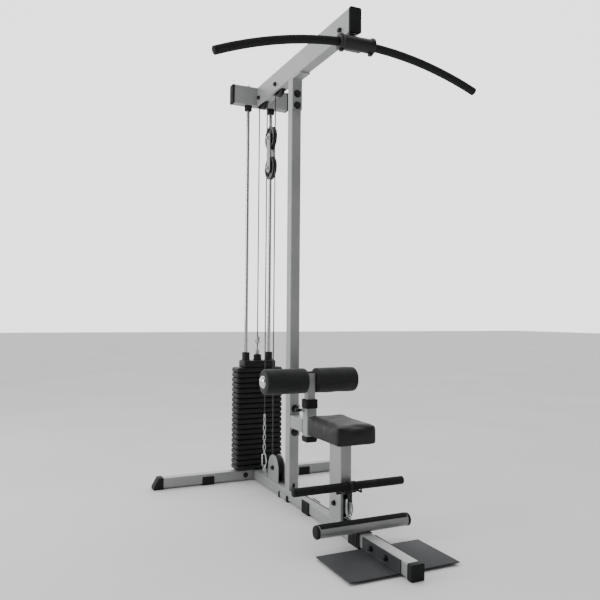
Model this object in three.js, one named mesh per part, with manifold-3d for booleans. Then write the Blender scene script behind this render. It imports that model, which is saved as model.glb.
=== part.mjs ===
// A selectorized lat pulldown machine with a low-row pulley, in millimetres, +Z up.
// The sitter faces +Y, towards the stack, with +X on their right. The origin is on the floor,
// midway between the front rubber foot and the back of the weight stack.
import * as THREE from 'three';
import { mergeVertices } from 'three/addons/utils/BufferGeometryUtils.js';
import Module from 'manifold-3d';

const wasm = await Module();
wasm.setup();

// ---------------------------------------------------------------- driving dimensions
const GAP = 0.3; // kept between neighbouring solids
const TUBE = 50; // side of the square frame tube
const WALL = 3;
const TUBE_CORNER = 5; // outer corner radius of the tube
const DEEP_TUBE = 100; // long side of the 50 x 100 tube of the boom and seat post
const FOOT_PAD = 6; // rubber under the frame tubes
const BASE_TOP = FOOT_PAD + TUBE;

// Stations are distances forward (towards -Y) from the front face of the rear cross tube.
const BASE_LENGTH = 1427;
const FRONT_CAP = 23;
const STACK_WIDTH = 260;
const STACK_DEPTH = 102;
const STACK_STATION = -TUBE / 2; // the stack stands over the rear cross tube
const REAR_OVERHANG = STACK_DEPTH / 2 - STACK_STATION;
const ORIGIN_STATION = (BASE_LENGTH + FRONT_CAP - REAR_OVERHANG) / 2;

const CROSS_HALF = 507; // rear cross tube, to its rubber ends
const CROSS_CAP = 50;
const UPRIGHT_STATION = 436;
const BOOM_TOP = 2110;
const BOOM_BOTTOM = BOOM_TOP - DEEP_TUBE;
const BOOM_LENGTH = 1008;
const TOP_CROSS_HALF = 152;

// Pulleys: the cable's centreline runs at PITCH from the axle.
const WHEEL_RADIUS = 60;
const PITCH = 56;
const GROOVE = 52.2;
const WHEEL_WIDTH = 20;
const AXLE_RADIUS = 6;
const BORE_RADIUS = 6.3;
const CABLE_RADIUS = 3;
const BOOM_AXLE_Z = 2045;
const REAR_PULLEY = STACK_STATION + PITCH; // its back hangs the cable over the stack
const MID_PULLEY = REAR_PULLEY + 4 * PITCH; // leaves room for the floating wheel between them
const FRONT_PULLEY = 935;
const FLOAT_STATION = (REAR_PULLEY + MID_PULLEY) / 2;
const FLOAT_UPPER_Z = 1802;
const FLOAT_LOWER_Z = 1645;
const LOW_PULLEY = FLOAT_STATION + 2 * PITCH;
const LOW_AXLE_Z = 120;
const POST_PULLEY = 910;
const CABLE_EXIT_ANGLE = 24; // slope of the low cable as it leaves the seat post, degrees

// Weight stack.
const PLATE_COUNT = 20;
const PLATE_PITCH = 27;
const PLATE_THICKNESS = 26.2;
const LIFTED_PLATES = 4;
const STACK_TOP = 600;
const ROD_X = 66;
const ROD_RADIUS = 9.5;
const ROD_HOLE = 10.6;
const HEAD_THICKNESS = 36;
const PIN_RADIUS = 5;

// Seat and roller holder.
const SEAT_POST_STATION = 913;
const SEAT_BOTTOM = 374;
const SEAT_HEIGHT = 75;
const SEAT_WIDTH = 186;
const SEAT_LENGTH = 288;
const SEAT_STATION = 914;
const HOLDER_STATION = 625;
const HOLDER_BOTTOM = 328;
const HOLDER_TOP = 464;
const COLLAR_HEIGHT = 40;
const ROLLER_POST = 40;
const ROLLER_Z = 587;
const ROLLER_RADIUS = 57;
const PIN_STATION = 613; // pull pin, off the holder's left face
const PIN_Z = 455;
const STOP_PITCH = 20;
const ROLLER_INNER = 24;
const ROLLER_OUTER = 224;
const ROLLER_AXLE_RADIUS = 10;

// Bars.
const LAT_BAR_STATION = 1021;
const LAT_BAR_Z = 1961;
const LAT_BAR_HALF = 593;
const LAT_BAR_DROOP = 118;
const LAT_BAR_RADIUS = 16.5;
const LAT_BAR_TILT = 1.6; // degrees, right end high, as it hangs
const LAT_SLEEVE_RADIUS = 28;
const LAT_SLEEVE_HALF = 73;
const HANGER_RISE = 43; // top of the hanger plate above the bar
const HANGER_WINDOW = 29.5; // middle of its window
const END_BALL = 5; // swaged on the cable's end, under the top of the window
const END_BALL_RISE = 0.6;
const LOW_BAR_STATION = 992;
const LOW_BAR_Z = 204;
const LOW_BAR_HALF = 250;
const LOW_BAR_RADIUS = 16.5;
const LOW_BOSS_RADIUS = 19;
const LOW_BOSS_HALF = 24;

// Feet of the sitter.
const BRACE_STATION = 1096;
const BRACE_RADIUS = 24;
const BRACE_HALF = 193;
const BRACE_CAP = 13;
const BRACE_Z = BASE_TOP + GAP + BRACE_RADIUS;
const PLATE_OUTER = 222;
const FOOT_PLATE_START = 1139;
const FOOT_PLATE_LENGTH = 251;
const FOOT_PLATE_THICKNESS = 4;
const FOOT_PLATE_Z = 8;

// ---------------------------------------------------------------- materials
const finish = (color, roughness, metalness = 0) =>
  new THREE.MeshStandardMaterial({ color, roughness, metalness });
const FRAME = finish('#a7a9a8', 0.45, 0.35);
const BLACK_STEEL = finish('#2b2c2d', 0.5, 0.2);
const RUBBER = finish('#1d1e1f', 0.85);
const FOAM = finish('#303132', 0.95);
const VINYL = finish('#262728', 0.6);
const NYLON = finish('#161718', 0.4);
const IRON = finish('#232425', 0.6, 0.2);
const CHROME = finish('#c9cccd', 0.15, 1);
const CABLE = finish('#9b9d9c', 0.5);

// ---------------------------------------------------------------- shape helpers
const FORWARD = (station) => ORIGIN_STATION - station; // a station as a Y coordinate

/** Moves a geometry and returns it. */
function at(geometry, x, y, z) {
  return geometry.translate(x, y, z);
}

/** A box from its lowest and highest corners. */
function block(x0, y0, z0, x1, y1, z1) {
  return at(new THREE.BoxGeometry(x1 - x0, y1 - y0, z1 - z0), (x0 + x1) / 2, (y0 + y1) / 2, (z0 + z1) / 2);
}

/** A cylinder along an axis, centred on a point. */
function rod(axis, radius, length, x, y, z, sides = 24) {
  const body = new THREE.CylinderGeometry(radius, radius, length, sides);
  if (axis === 'x') body.rotateZ(Math.PI / 2);
  if (axis === 'z') body.rotateX(Math.PI / 2);
  return at(body, x, y, z);
}

/** A rounded rectangle as a closed 2-D outline. */
function roundedRectangle(width, height, radius, Outline = THREE.Shape) {
  const w = width / 2;
  const h = height / 2;
  const outline = new Outline();
  outline.moveTo(w, -h + radius);
  outline.lineTo(w, h - radius);
  outline.absarc(w - radius, h - radius, radius, 0, Math.PI / 2);
  outline.lineTo(-w + radius, h);
  outline.absarc(-w + radius, h - radius, radius, Math.PI / 2, Math.PI);
  outline.lineTo(-w, -h + radius);
  outline.absarc(-w + radius, -h + radius, radius, Math.PI, 1.5 * Math.PI);
  outline.lineTo(w - radius, -h);
  outline.absarc(w - radius, -h + radius, radius, 1.5 * Math.PI, 2 * Math.PI);
  return outline;
}

/** Extrudes an outline drawn in the plane across an axis, from `from` to `to` along that axis. */
function extrude(shape, axis, from, to, curveSegments = 1, bevel = 0) {
  const body = new THREE.ExtrudeGeometry(shape, {
    depth: to - from - 2 * bevel,
    bevelEnabled: bevel > 0,
    bevelThickness: bevel,
    bevelSize: bevel,
    bevelOffset: -bevel,
    bevelSegments: 2,
    curveSegments,
  });
  body.translate(0, 0, from + bevel);
  if (axis === 'x') body.applyMatrix4(new THREE.Matrix4().makeBasis(AXIS_Y, AXIS_Z, AXIS_X));
  if (axis === 'y') body.applyMatrix4(new THREE.Matrix4().makeBasis(AXIS_Z, AXIS_X, AXIS_Y));
  return body;
}
const AXIS_X = new THREE.Vector3(1, 0, 0);
const AXIS_Y = new THREE.Vector3(0, 1, 0);
const AXIS_Z = new THREE.Vector3(0, 0, 1);

/** A square or rectangular steel tube, open at both ends, along an axis. */
function tube(axis, a, b, from, to, wall = WALL) {
  const shape = roundedRectangle(a, b, TUBE_CORNER);
  shape.holes.push(roundedRectangle(a - 2 * wall, b - 2 * wall, TUBE_CORNER - wall, THREE.Path));
  return extrude(shape, axis, from, to);
}

/** Turns a profile of [radius, along] points round the X axis. */
function turned(points, segments, x, y, z) {
  const profile = points.map(([r, along]) => new THREE.Vector2(r, along));
  const body = new THREE.LatheGeometry(profile, segments);
  body.rotateZ(-Math.PI / 2);
  return at(body, x, y, z);
}

/** A closed mesh as a manifold solid. */
function solid(geometry) {
  const bare = geometry.clone();
  bare.deleteAttribute('normal');
  bare.deleteAttribute('uv');
  const merged = mergeVertices(bare, 1e-4);
  const corners = [...merged.index.array];
  const triangles = [];
  for (let i = 0; i < corners.length; i += 3) {
    const [a, b, c] = corners.slice(i, i + 3);
    if (a !== b && b !== c && c !== a) triangles.push(a, b, c);
  }
  return new wasm.Manifold(
    new wasm.Mesh({
      numProp: 3,
      vertProperties: new Float32Array(merged.attributes.position.array),
      triVerts: new Uint32Array(triangles),
    }),
  );
}

/** A manifold solid as a geometry. */
function geometryOf(manifold) {
  const mesh = manifold.getMesh();
  const body = new THREE.BufferGeometry();
  body.setAttribute('position', new THREE.BufferAttribute(new Float32Array(mesh.vertProperties), 3));
  body.setIndex(new THREE.BufferAttribute(new Uint32Array(mesh.triVerts), 1));
  body.computeVertexNormals();
  return body;
}

/** Joins closed geometries into one. */
function join(...bodies) {
  return geometryOf(bodies.map(solid).reduce((a, b) => a.add(b)));
}

/** Cuts the later geometries out of the first. */
function cut(body, ...tools) {
  return geometryOf(tools.map(solid).reduce((a, b) => a.subtract(b), solid(body)));
}

const machine = new THREE.Group();

/** Adds one named piece to a group. */
function piece(group, name, geometry, material) {
  const mesh = new THREE.Mesh(geometry, material);
  mesh.name = name;
  group.add(mesh);
  return mesh;
}

// ---------------------------------------------------------------- base
function buildBase() {
  const base = new THREE.Group();
  const middle = FOOT_PAD + TUBE / 2;
  const baseTube = at(tube('y', TUBE, TUBE, FORWARD(BASE_LENGTH), FORWARD(GAP)), 0, 0, middle);
  piece(base, 'base_tube', baseTube, FRAME);
  const crossY = FORWARD(0) + TUBE / 2;
  piece(base, 'rear_cross_tube', at(tube('x', TUBE, TUBE, -CROSS_HALF, CROSS_HALF), 0, crossY, middle), FRAME);

  // Rubber ends reach the floor, and slope away above it.
  const frontCap = extrude(roundedRectangle(BASE_TOP + 2, TUBE + 4, 6), 'y', -FRONT_CAP, -GAP);
  piece(base, 'base_front_cap', at(frontCap, 0, FORWARD(BASE_LENGTH), (BASE_TOP + 2) / 2), RUBBER);
  for (const [side, name] of [[-1, 'left'], [1, 'right']]) {
    const outer = CROSS_HALF + CROSS_CAP;
    const slope = new THREE.Shape();
    slope.moveTo(CROSS_HALF + GAP, 0);
    slope.lineTo(outer, 0);
    slope.lineTo(outer, 12);
    slope.lineTo(outer - 26, BASE_TOP + 2);
    slope.lineTo(CROSS_HALF + GAP, BASE_TOP + 2);
    const cap = new THREE.ExtrudeGeometry(slope, { depth: TUBE + 4, bevelEnabled: false });
    cap.rotateX(Math.PI / 2);
    cap.translate(0, (TUBE + 4) / 2, 0);
    if (side < 0) cap.rotateZ(Math.PI);
    piece(base, `cross_cap_${name}`, at(cap, 0, crossY, 0), RUBBER);
  }
  buildSaddles(base, crossY);
  return base;
}

/** Rubber feet that cradle the tubes from below. */
function buildSaddles(base, crossY) {
  const cheek = 4;
  const saddle = (length, height) => {
    const half = TUBE / 2 + GAP + cheek;
    const outer = block(-half, -length / 2, 0, half, length / 2, height);
    const hollow = block(-half + cheek, -length, FOOT_PAD - GAP, half - cheek, length, height + 1);
    return cut(outer, hollow);
  };
  for (const [x, name] of [[-275, 'left'], [275, 'right']]) {
    const foot = saddle(62, BASE_TOP - 14);
    foot.rotateZ(Math.PI / 2);
    piece(base, `saddle_foot_${name}`, at(foot, x, crossY, 0), RUBBER);
  }
  for (const [station, length, height, name] of [
    [398, 118, 26, 'rear'],
    [644, 70, BASE_TOP, 'middle'],
    [1072, 82, BASE_TOP, 'front'],
  ]) {
    piece(base, `saddle_foot_${name}`, at(saddle(length, height), 0, FORWARD(station), 0), RUBBER);
  }
}

// ---------------------------------------------------------------- frame above the base
function buildFrame() {
  const frame = new THREE.Group();
  const half = TUBE / 2;
  const uprightY = FORWARD(UPRIGHT_STATION);
  const upright = at(tube('z', TUBE, TUBE, BASE_TOP + GAP, BOOM_BOTTOM - GAP), 0, uprightY, 0);
  const cableSlot = block(-7, uprightY - TUBE, BASE_TOP - 1, 7, uprightY + TUBE, BASE_TOP + 32);
  piece(frame, 'upright', cut(upright, cableSlot), FRAME);

  // Boom: its three axle bolts are fast in its side walls.
  const boomZ = (BOOM_TOP + BOOM_BOTTOM) / 2;
  const boom = at(tube('y', DEEP_TUBE, TUBE, FORWARD(BOOM_LENGTH), FORWARD(GAP)), 0, 0, boomZ);
  const slotBottom = (from, to) =>
    block(-13, FORWARD(to), BOOM_BOTTOM - 1, 13, FORWARD(from), BOOM_BOTTOM + WALL + 2);
  const slots = [
    slotBottom(-5, REAR_PULLEY + PITCH + 10),
    slotBottom(MID_PULLEY - PITCH - 10, MID_PULLEY + PITCH),
    slotBottom(FRONT_PULLEY - PITCH, FRONT_PULLEY + PITCH + 9),
  ];
  const boomBolts = [REAR_PULLEY, MID_PULLEY, FRONT_PULLEY].map((station) =>
    rod('x', AXLE_RADIUS, TUBE + 10, 0, FORWARD(station), BOOM_AXLE_Z),
  );
  piece(frame, 'boom', join(cut(boom, ...slots), ...boomBolts), FRAME);

  const noseTilt = extrude(roundedRectangle(DEEP_TUBE + 2, TUBE + 2, 5), 'y', -12, -GAP);
  piece(frame, 'boom_cap', at(noseTilt, 0, FORWARD(BOOM_LENGTH), boomZ), RUBBER);

  // An angle bracket bolts the upright to the underside of the boom.
  const front = uprightY - half - GAP;
  const leg = 6;
  const upLeg = block(-half, front - leg, BOOM_BOTTOM - 152, half, front, BOOM_BOTTOM - GAP);
  const overLeg = block(-half, front - 92, BOOM_BOTTOM - GAP - leg, half, front, BOOM_BOTTOM - GAP);
  piece(frame, 'boom_bracket', join(upLeg, overLeg), FRAME);

  // Guide-rod carrier behind the boom, open in front and below for the rear wheel and its cable.
  const carrierY = FORWARD(0) + half;
  const carrier = at(tube('x', TUBE, DEEP_TUBE, -TOP_CROSS_HALF, TOP_CROSS_HALF), 0, carrierY, boomZ);
  const wheelRoom = block(-13, carrierY - half - 1, BOOM_BOTTOM - 1, 13, carrierY + 9, BOOM_TOP - 2 * WALL);
  piece(frame, 'top_cross_tube', cut(carrier, wheelRoom), FRAME);
  return frame;
}

// ---------------------------------------------------------------- weight stack
/** A run of plates, each with a thin shadow gap to the next, bored for the guide rods. */
function plates(count, top, stackY) {
  const shape = roundedRectangle(STACK_WIDTH, STACK_DEPTH, 14);
  const bottom = top - (count - 1) * PLATE_PITCH - PLATE_THICKNESS;
  const core = block(
    -STACK_WIDTH / 2 + 7, stackY - STACK_DEPTH / 2 + 7, bottom + 1,
    STACK_WIDTH / 2 - 7, stackY + STACK_DEPTH / 2 - 7, top - 1,
  );
  const layers = [core];
  for (let i = 0; i < count; i += 1) {
    const high = top - i * PLATE_PITCH;
    layers.push(at(extrude(shape, 'z', high - PLATE_THICKNESS, high), 0, stackY, 0));
  }
  const bores = [-ROD_X, ROD_X].map((x) =>
    rod('z', ROD_HOLE, top - bottom + 10, x, stackY, (top + bottom) / 2, 16),
  );
  return { body: cut(join(...layers), ...bores), bottom };
}

function buildStack() {
  const stack = new THREE.Group();
  const y = FORWARD(STACK_STATION);
  const rodBottom = BASE_TOP + GAP;
  for (const [x, name] of [[-ROD_X, 'left'], [ROD_X, 'right']]) {
    const rodLength = BOOM_BOTTOM - GAP - rodBottom;
    const guide = rod('z', ROD_RADIUS, rodLength, x, y, rodBottom + rodLength / 2);
    piece(stack, `guide_rod_${name}`, guide, CHROME);
  }
  const lifted = plates(LIFTED_PLATES, STACK_TOP, y);
  const pinZ = STACK_TOP - (LIFTED_PLATES - 1) * PLATE_PITCH - PLATE_THICKNESS / 2;
  const pinHole = rod('y', PIN_RADIUS + GAP, 70, 0, y - STACK_DEPTH / 2 + 30, pinZ, 16);
  piece(stack, 'lifted_plates', cut(lifted.body, pinHole), IRON);
  const restTop = STACK_TOP - LIFTED_PLATES * PLATE_PITCH;
  const resting = plates(PLATE_COUNT - LIFTED_PLATES, restTop, y);
  piece(stack, 'resting_plates', resting.body, IRON);
  buildHead(stack, y);

  // Each guide rod has a rubber bumper under the plates.
  for (const [x, name] of [[-ROD_X, 'left'], [ROD_X, 'right']]) {
    const low = BASE_TOP + GAP;
    const high = resting.bottom - GAP;
    const ring = rod('z', 27, high - low, x, y, (high + low) / 2);
    piece(stack, `stack_bumper_${name}`, cut(ring, rod('z', ROD_RADIUS + GAP, 60, x, y, low + 15)), RUBBER);
  }

  // The selector pin goes through a plate from the front; its knob is what the hand pulls.
  const faceY = y - STACK_DEPTH / 2;
  const shank = rod('y', PIN_RADIUS, 66, 0, faceY + 23, pinZ, 16);
  const knob = rod('y', 11, 26, 0, faceY - 19, pinZ, 20);
  piece(stack, 'selector_pin', join(shank, knob), BLACK_STEEL);
  return stack;
}

/** Head plate with its rod bushings, centre boss, stud and the cable's clamp, as one bolted-up piece. */
function buildHead(stack, y) {
  const low = STACK_TOP + GAP;
  const top = low + HEAD_THICKNESS;
  const slab = at(extrude(roundedRectangle(182, 92, 10), 'z', low, top, 2), 0, y, 0);
  const bushings = [-ROD_X, ROD_X].map((x) => rod('z', 21, 45, x, y, top + 21.5));
  const boss = rod('z', 21.5, 33, 0, y, top + 15.5);
  const nut = rod('z', 10, 28, 0, y, top + 45, 6);
  const bores = [-ROD_X, ROD_X].map((x) => rod('z', ROD_HOLE, 120, x, y, top, 16));
  const stud = rod('z', 5, 36, 0, y, top + 75.5, 12);
  const clamp = rod('z', 14, 40, 0, y, top + 110);
  piece(stack, 'stack_head', cut(join(slab, ...bushings, boss, nut, stud, clamp), ...bores), IRON);
}
const TERMINAL_TOP = STACK_TOP + GAP + HEAD_THICKNESS + 130;

// ---------------------------------------------------------------- pulleys
/** A grooved wheel bored for its axle, turned about X. */
function wheel(y, z) {
  const half = WHEEL_WIDTH / 2;
  const lip = 6.2;
  const floor = 3.6;
  const profile = [
    [BORE_RADIUS, -half],
    [WHEEL_RADIUS, -half],
    [WHEEL_RADIUS, -lip],
    [GROOVE, -floor],
    [GROOVE, floor],
    [WHEEL_RADIUS, lip],
    [WHEEL_RADIUS, half],
    [BORE_RADIUS, half],
    [BORE_RADIUS, -half],
  ];
  return turned(profile, 28, 0, y, z);
}

function buildPulleys() {
  const pulleys = new THREE.Group();
  for (const [name, station, z] of [
    ['pulley_front', FRONT_PULLEY, BOOM_AXLE_Z],
    ['pulley_middle', MID_PULLEY, BOOM_AXLE_Z],
    ['pulley_rear', REAR_PULLEY, BOOM_AXLE_Z],
    ['pulley_float_upper', FLOAT_STATION, FLOAT_UPPER_Z],
    ['pulley_float_lower', FLOAT_STATION, FLOAT_LOWER_Z],
    ['pulley_low', LOW_PULLEY, LOW_AXLE_Z],
    ['pulley_seat_post', POST_PULLEY, LOW_AXLE_Z],
  ]) {
    piece(pulleys, name, wheel(FORWARD(station), z), NYLON);
  }
  buildFloatingBlock(pulleys);
  buildLowGuard(pulleys);
  return pulleys;
}

/** Two straps with round ends; the left one carries both axle bolts. */
function buildFloatingBlock(group) {
  const y = FORWARD(FLOAT_STATION);
  const middle = (FLOAT_UPPER_Z + FLOAT_LOWER_Z) / 2;
  const reach = FLOAT_UPPER_Z - FLOAT_LOWER_Z;
  const strap = (x0, x1) =>
    at(extrude(roundedRectangle(44, reach + 50, 21), 'x', x0, x1, 6), 0, y, middle);
  const bolts = [FLOAT_UPPER_Z, FLOAT_LOWER_Z].map((z) => rod('x', AXLE_RADIUS, 36, 0, y, z));
  const holes = [FLOAT_UPPER_Z, FLOAT_LOWER_Z].map((z) => rod('x', BORE_RADIUS, 40, 0, y, z));
  piece(group, 'float_strap_left', join(strap(-16, -12), ...bolts), FRAME);
  piece(group, 'float_strap_right', cut(strap(12, 16), ...holes), FRAME);
}

/** Cheek plates on a foot, either side of the low wheel, with its axle bolt. */
function buildLowGuard(group) {
  const y = FORWARD(LOW_PULLEY);
  const low = BASE_TOP + GAP;
  const radius = 63;
  const cheek = (x0, x1) => {
    const outline = new THREE.Shape();
    outline.moveTo(-radius, low);
    outline.lineTo(radius, low);
    outline.lineTo(radius, LOW_AXLE_Z);
    outline.absarc(0, LOW_AXLE_Z, radius, 0, Math.PI);
    return at(extrude(outline, 'x', x0, x1, 12), 0, y, 0);
  };
  const foot = block(-20, y - radius, low, 20, y + radius, low + 3);
  const bolt = rod('x', AXLE_RADIUS, 52, 0, y, LOW_AXLE_Z);
  piece(group, 'low_pulley_guard', join(cheek(-20, -16), cheek(16, 20), foot, bolt), FRAME);
}

// ---------------------------------------------------------------- seat
function buildSeat() {
  const seat = new THREE.Group();
  const y = FORWARD(SEAT_POST_STATION);
  const post = at(tube('z', TUBE, DEEP_TUBE, BASE_TOP + GAP, SEAT_BOTTOM - 4), 0, y, 0);
  const wheelSlot = block(-13, y - DEEP_TUBE, BASE_TOP + 3, 13, y + DEEP_TUBE, LOW_AXLE_Z + 63);
  const bolt = rod('x', AXLE_RADIUS, TUBE + 10, 0, FORWARD(POST_PULLEY), LOW_AXLE_Z);
  const plate = extrude(roundedRectangle(120, 190, 8), 'z', SEAT_BOTTOM - 5, SEAT_BOTTOM - GAP, 2);
  at(plate, 0, FORWARD(SEAT_STATION), 0);
  piece(seat, 'seat_post', join(cut(post, wheelSlot), bolt, plate), FRAME);
  const cushion = extrude(
    roundedRectangle(SEAT_WIDTH, SEAT_LENGTH, 22), 'z', SEAT_BOTTOM, SEAT_BOTTOM + SEAT_HEIGHT, 4, 8,
  );
  piece(seat, 'seat_cushion', at(cushion, 0, FORWARD(SEAT_STATION), 0), VINYL);
  return seat;
}

// ---------------------------------------------------------------- leg hold-down
function buildHoldDown() {
  const hold = new THREE.Group();
  const half = TUBE / 2;
  const uprightFace = FORWARD(UPRIGHT_STATION) - half - GAP;
  const y = FORWARD(HOLDER_STATION);
  const leg = 6;
  const plate = block(-half, uprightFace - leg, 312, half, uprightFace, 457);
  const armTube = at(tube('y', 60, TUBE, y + half + GAP, uprightFace - leg / 2), 0, 0, 381);
  piece(hold, 'holder_arm', join(plate, armTube), FRAME);

  const holder = at(tube('z', TUBE, TUBE, HOLDER_BOTTOM, HOLDER_TOP), 0, y, 0);
  const pinY = FORWARD(PIN_STATION);
  const barrel = rod('x', 7, 15, -half - 6.5, pinY, PIN_Z, 20);
  const pinHole = rod('x', 5.4, 60, -half - 20, pinY, PIN_Z, 16);
  piece(hold, 'holder_tube', cut(join(holder, barrel), pinHole), FRAME);

  const collarLow = HOLDER_TOP + GAP;
  const collar = extrude(roundedRectangle(58, 58, 7), 'z', collarLow, collarLow + COLLAR_HEIGHT, 3, 2);
  const opening = extrude(roundedRectangle(ROLLER_POST + 1, ROLLER_POST + 1, 5.5), 'z', 400, 600, 3);
  piece(hold, 'holder_collar', at(cut(collar, opening), 0, y, 0), RUBBER);

  const postTop = ROLLER_Z + 35;
  const post = at(tube('z', ROLLER_POST, ROLLER_POST, 362, postTop), 0, y, 0);
  const lid = at(extrude(roundedRectangle(ROLLER_POST, ROLLER_POST, 5), 'z', postTop - 4, postTop, 3), 0, y, 0);
  const axleHole = rod('x', ROLLER_AXLE_RADIUS + GAP, TUBE, 0, y, ROLLER_Z);
  const stops = [-1, 0, 1, 2, 3].map((i) => rod('x', 5.4, 12, -18, pinY, PIN_Z - STOP_PITCH * i, 8));
  piece(hold, 'roller_post', cut(join(post, lid), axleHole, ...stops), FRAME);

  // A round axle carries both rollers; a domed cap closes each of its ends.
  const axle = rod('x', ROLLER_AXLE_RADIUS, 2 * ROLLER_OUTER + 6, 0, y, ROLLER_Z);
  const dome = (turn) => {
    const profile = [[0, 0], [28, 0], [28, 3], [23, 9], [15, 13], [7, 15], [0, 15.5]];
    const cap = turned(profile, 24, ROLLER_OUTER + 1, 0, 0);
    cap.rotateZ(turn);
    return at(cap, 0, y, ROLLER_Z);
  };
  piece(hold, 'roller_axle', join(axle, dome(Math.PI), dome(0)), CHROME);
  for (const [side, name] of [[-1, 'left'], [1, 'right']]) {
    const inner = ROLLER_INNER;
    const outer = ROLLER_OUTER;
    const edge = 6;
    const profile = [
      [ROLLER_AXLE_RADIUS + 0.5, inner],
      [ROLLER_RADIUS - edge, inner],
      [ROLLER_RADIUS - 1.8, inner + 1.8],
      [ROLLER_RADIUS, inner + edge],
      [ROLLER_RADIUS, outer - edge],
      [ROLLER_RADIUS - 1.8, outer - 1.8],
      [ROLLER_RADIUS - edge, outer],
      [ROLLER_AXLE_RADIUS + 0.5, outer],
      [ROLLER_AXLE_RADIUS + 0.5, inner],
    ];
    const roller = turned(profile, 32, 0, 0, 0);
    if (side < 0) roller.rotateZ(Math.PI);
    piece(hold, `foam_roller_${name}`, at(roller, 0, y, ROLLER_Z), FOAM);
  }
  buildPullPin(hold, -half, pinY);
  return hold;
}

/** Sprung pin whose knob is pulled out to the left of the holder. */
function buildPullPin(hold, faceX, y) {
  const shaft = rod('x', 5, 44.5, faceX - 17.75, y, PIN_Z, 16);
  const knob = rod('x', 7.5, 26, faceX - 28, y, PIN_Z, 20);
  piece(hold, 'pull_pin', join(shaft, knob), BLACK_STEEL);
}

// ---------------------------------------------------------------- foot brace and plates
function buildFeet() {
  const feet = new THREE.Group();
  const y = FORWARD(BRACE_STATION);
  piece(feet, 'foot_brace', rod('x', BRACE_RADIUS, 2 * BRACE_HALF, 0, y, BRACE_Z, 32), FRAME);
  for (const [side, name] of [[-1, 'left'], [1, 'right']]) {
    const radius = BRACE_RADIUS + 1;
    const ring = [[0, 0], [radius, 0], [radius, 7], [radius - 2, 10.5], [radius - 8, 12.6], [0, BRACE_CAP]];
    const profile = ring.map(([r, along]) => [r, along + BRACE_HALF + GAP]);
    const cap = turned(profile, 24, 0, 0, 0);
    if (side < 0) cap.rotateZ(Math.PI);
    piece(feet, `brace_cap_${name}`, at(cap, 0, y, BRACE_Z), RUBBER);
    const inner = TUBE / 2 + GAP;
    const from = FORWARD(FOOT_PLATE_START + FOOT_PLATE_LENGTH);
    const to = FORWARD(FOOT_PLATE_START);
    const flat = [side * inner, side * PLATE_OUTER].sort((a, b) => a - b);
    const flange = [side * inner, side * (inner + FOOT_PLATE_THICKNESS)].sort((a, b) => a - b);
    const tread = block(flat[0], from, FOOT_PLATE_Z, flat[1], to, FOOT_PLATE_Z + FOOT_PLATE_THICKNESS);
    const web = block(flange[0], from, FOOT_PLATE_Z, flange[1], to, BASE_TOP - 1);
    piece(feet, `foot_plate_${name}`, join(tread, web), BLACK_STEEL);
  }
  return feet;
}

// ---------------------------------------------------------------- bars and hangers
/** A line given by a function of t in 0..1. */
class Path extends THREE.Curve {
  constructor(point) {
    super();
    this.point = point;
  }

  getPoint(t, target = new THREE.Vector3()) {
    return target.copy(this.point(t));
  }
}

/** A round bar along a path, with twice `halfSides` sides. */
function bar(path, radius, steps, halfSides) {
  const section = new THREE.Shape();
  section.absarc(0, 0, radius, 0, 2 * Math.PI);
  return new THREE.ExtrudeGeometry(section, { steps, extrudePath: path, curveSegments: halfSides });
}

function buildLatBar() {
  const lat = new THREE.Group();
  const place = (body) => {
    body.rotateY(THREE.MathUtils.degToRad(-LAT_BAR_TILT));
    return at(body, 0, FORWARD(LAT_BAR_STATION), LAT_BAR_Z);
  };
  const arc = (reach) =>
    new Path((t) => {
      const s = (2 * t - 1) * reach;
      return new THREE.Vector3(s * LAT_BAR_HALF, 0, -LAT_BAR_DROOP * s * s);
    });
  piece(lat, 'lat_bar', place(bar(arc(1), LAT_BAR_RADIUS, 28, 7)), RUBBER);

  // A sleeve round the bar, and behind it an upright plate whose window takes the end of the cable.
  const sleeve = rod('x', LAT_SLEEVE_RADIUS, 2 * LAT_SLEEVE_HALF, 0, 0, 0, 28);
  const lugs = [-1, 1].map((side) => {
    const x = side * (LAT_SLEEVE_HALF - 7);
    return block(x - 7, -8, -LAT_SLEEVE_RADIUS - 10, x + 7, 8, -LAT_SLEEVE_RADIUS + 4);
  });
  const bore = place(bar(arc(0.3), LAT_BAR_RADIUS + 0.8, 8, 7));
  const y = FORWARD(FRONT_PULLEY + RUN);
  const outline = roundedRectangle(HANGER_RISE + 20, 90, 16);
  const plate = at(extrude(outline, 'y', -4, 4, 2), 0, y, LAT_BAR_Z + HANGER_RISE / 2 - 10);
  const windowZ = LAT_BAR_Z + HANGER_WINDOW;
  const window = block(-11, y - 20, windowZ - 6, 11, y + 20, windowZ + 6);
  const cableHole = rod('z', CABLE_RADIUS + 0.4, 30, 0, y, windowZ + 15, 12);
  const body = join(...[sleeve, ...lugs].map(place), plate);
  piece(lat, 'lat_hanger', cut(body, bore, window, cableHole), BLACK_STEEL);
  const ball = new THREE.SphereGeometry(END_BALL, 12, 8);
  piece(lat, 'lat_cable_end', at(ball, 0, y, windowZ + END_BALL_RISE), CHROME);
  return lat;
}

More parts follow.
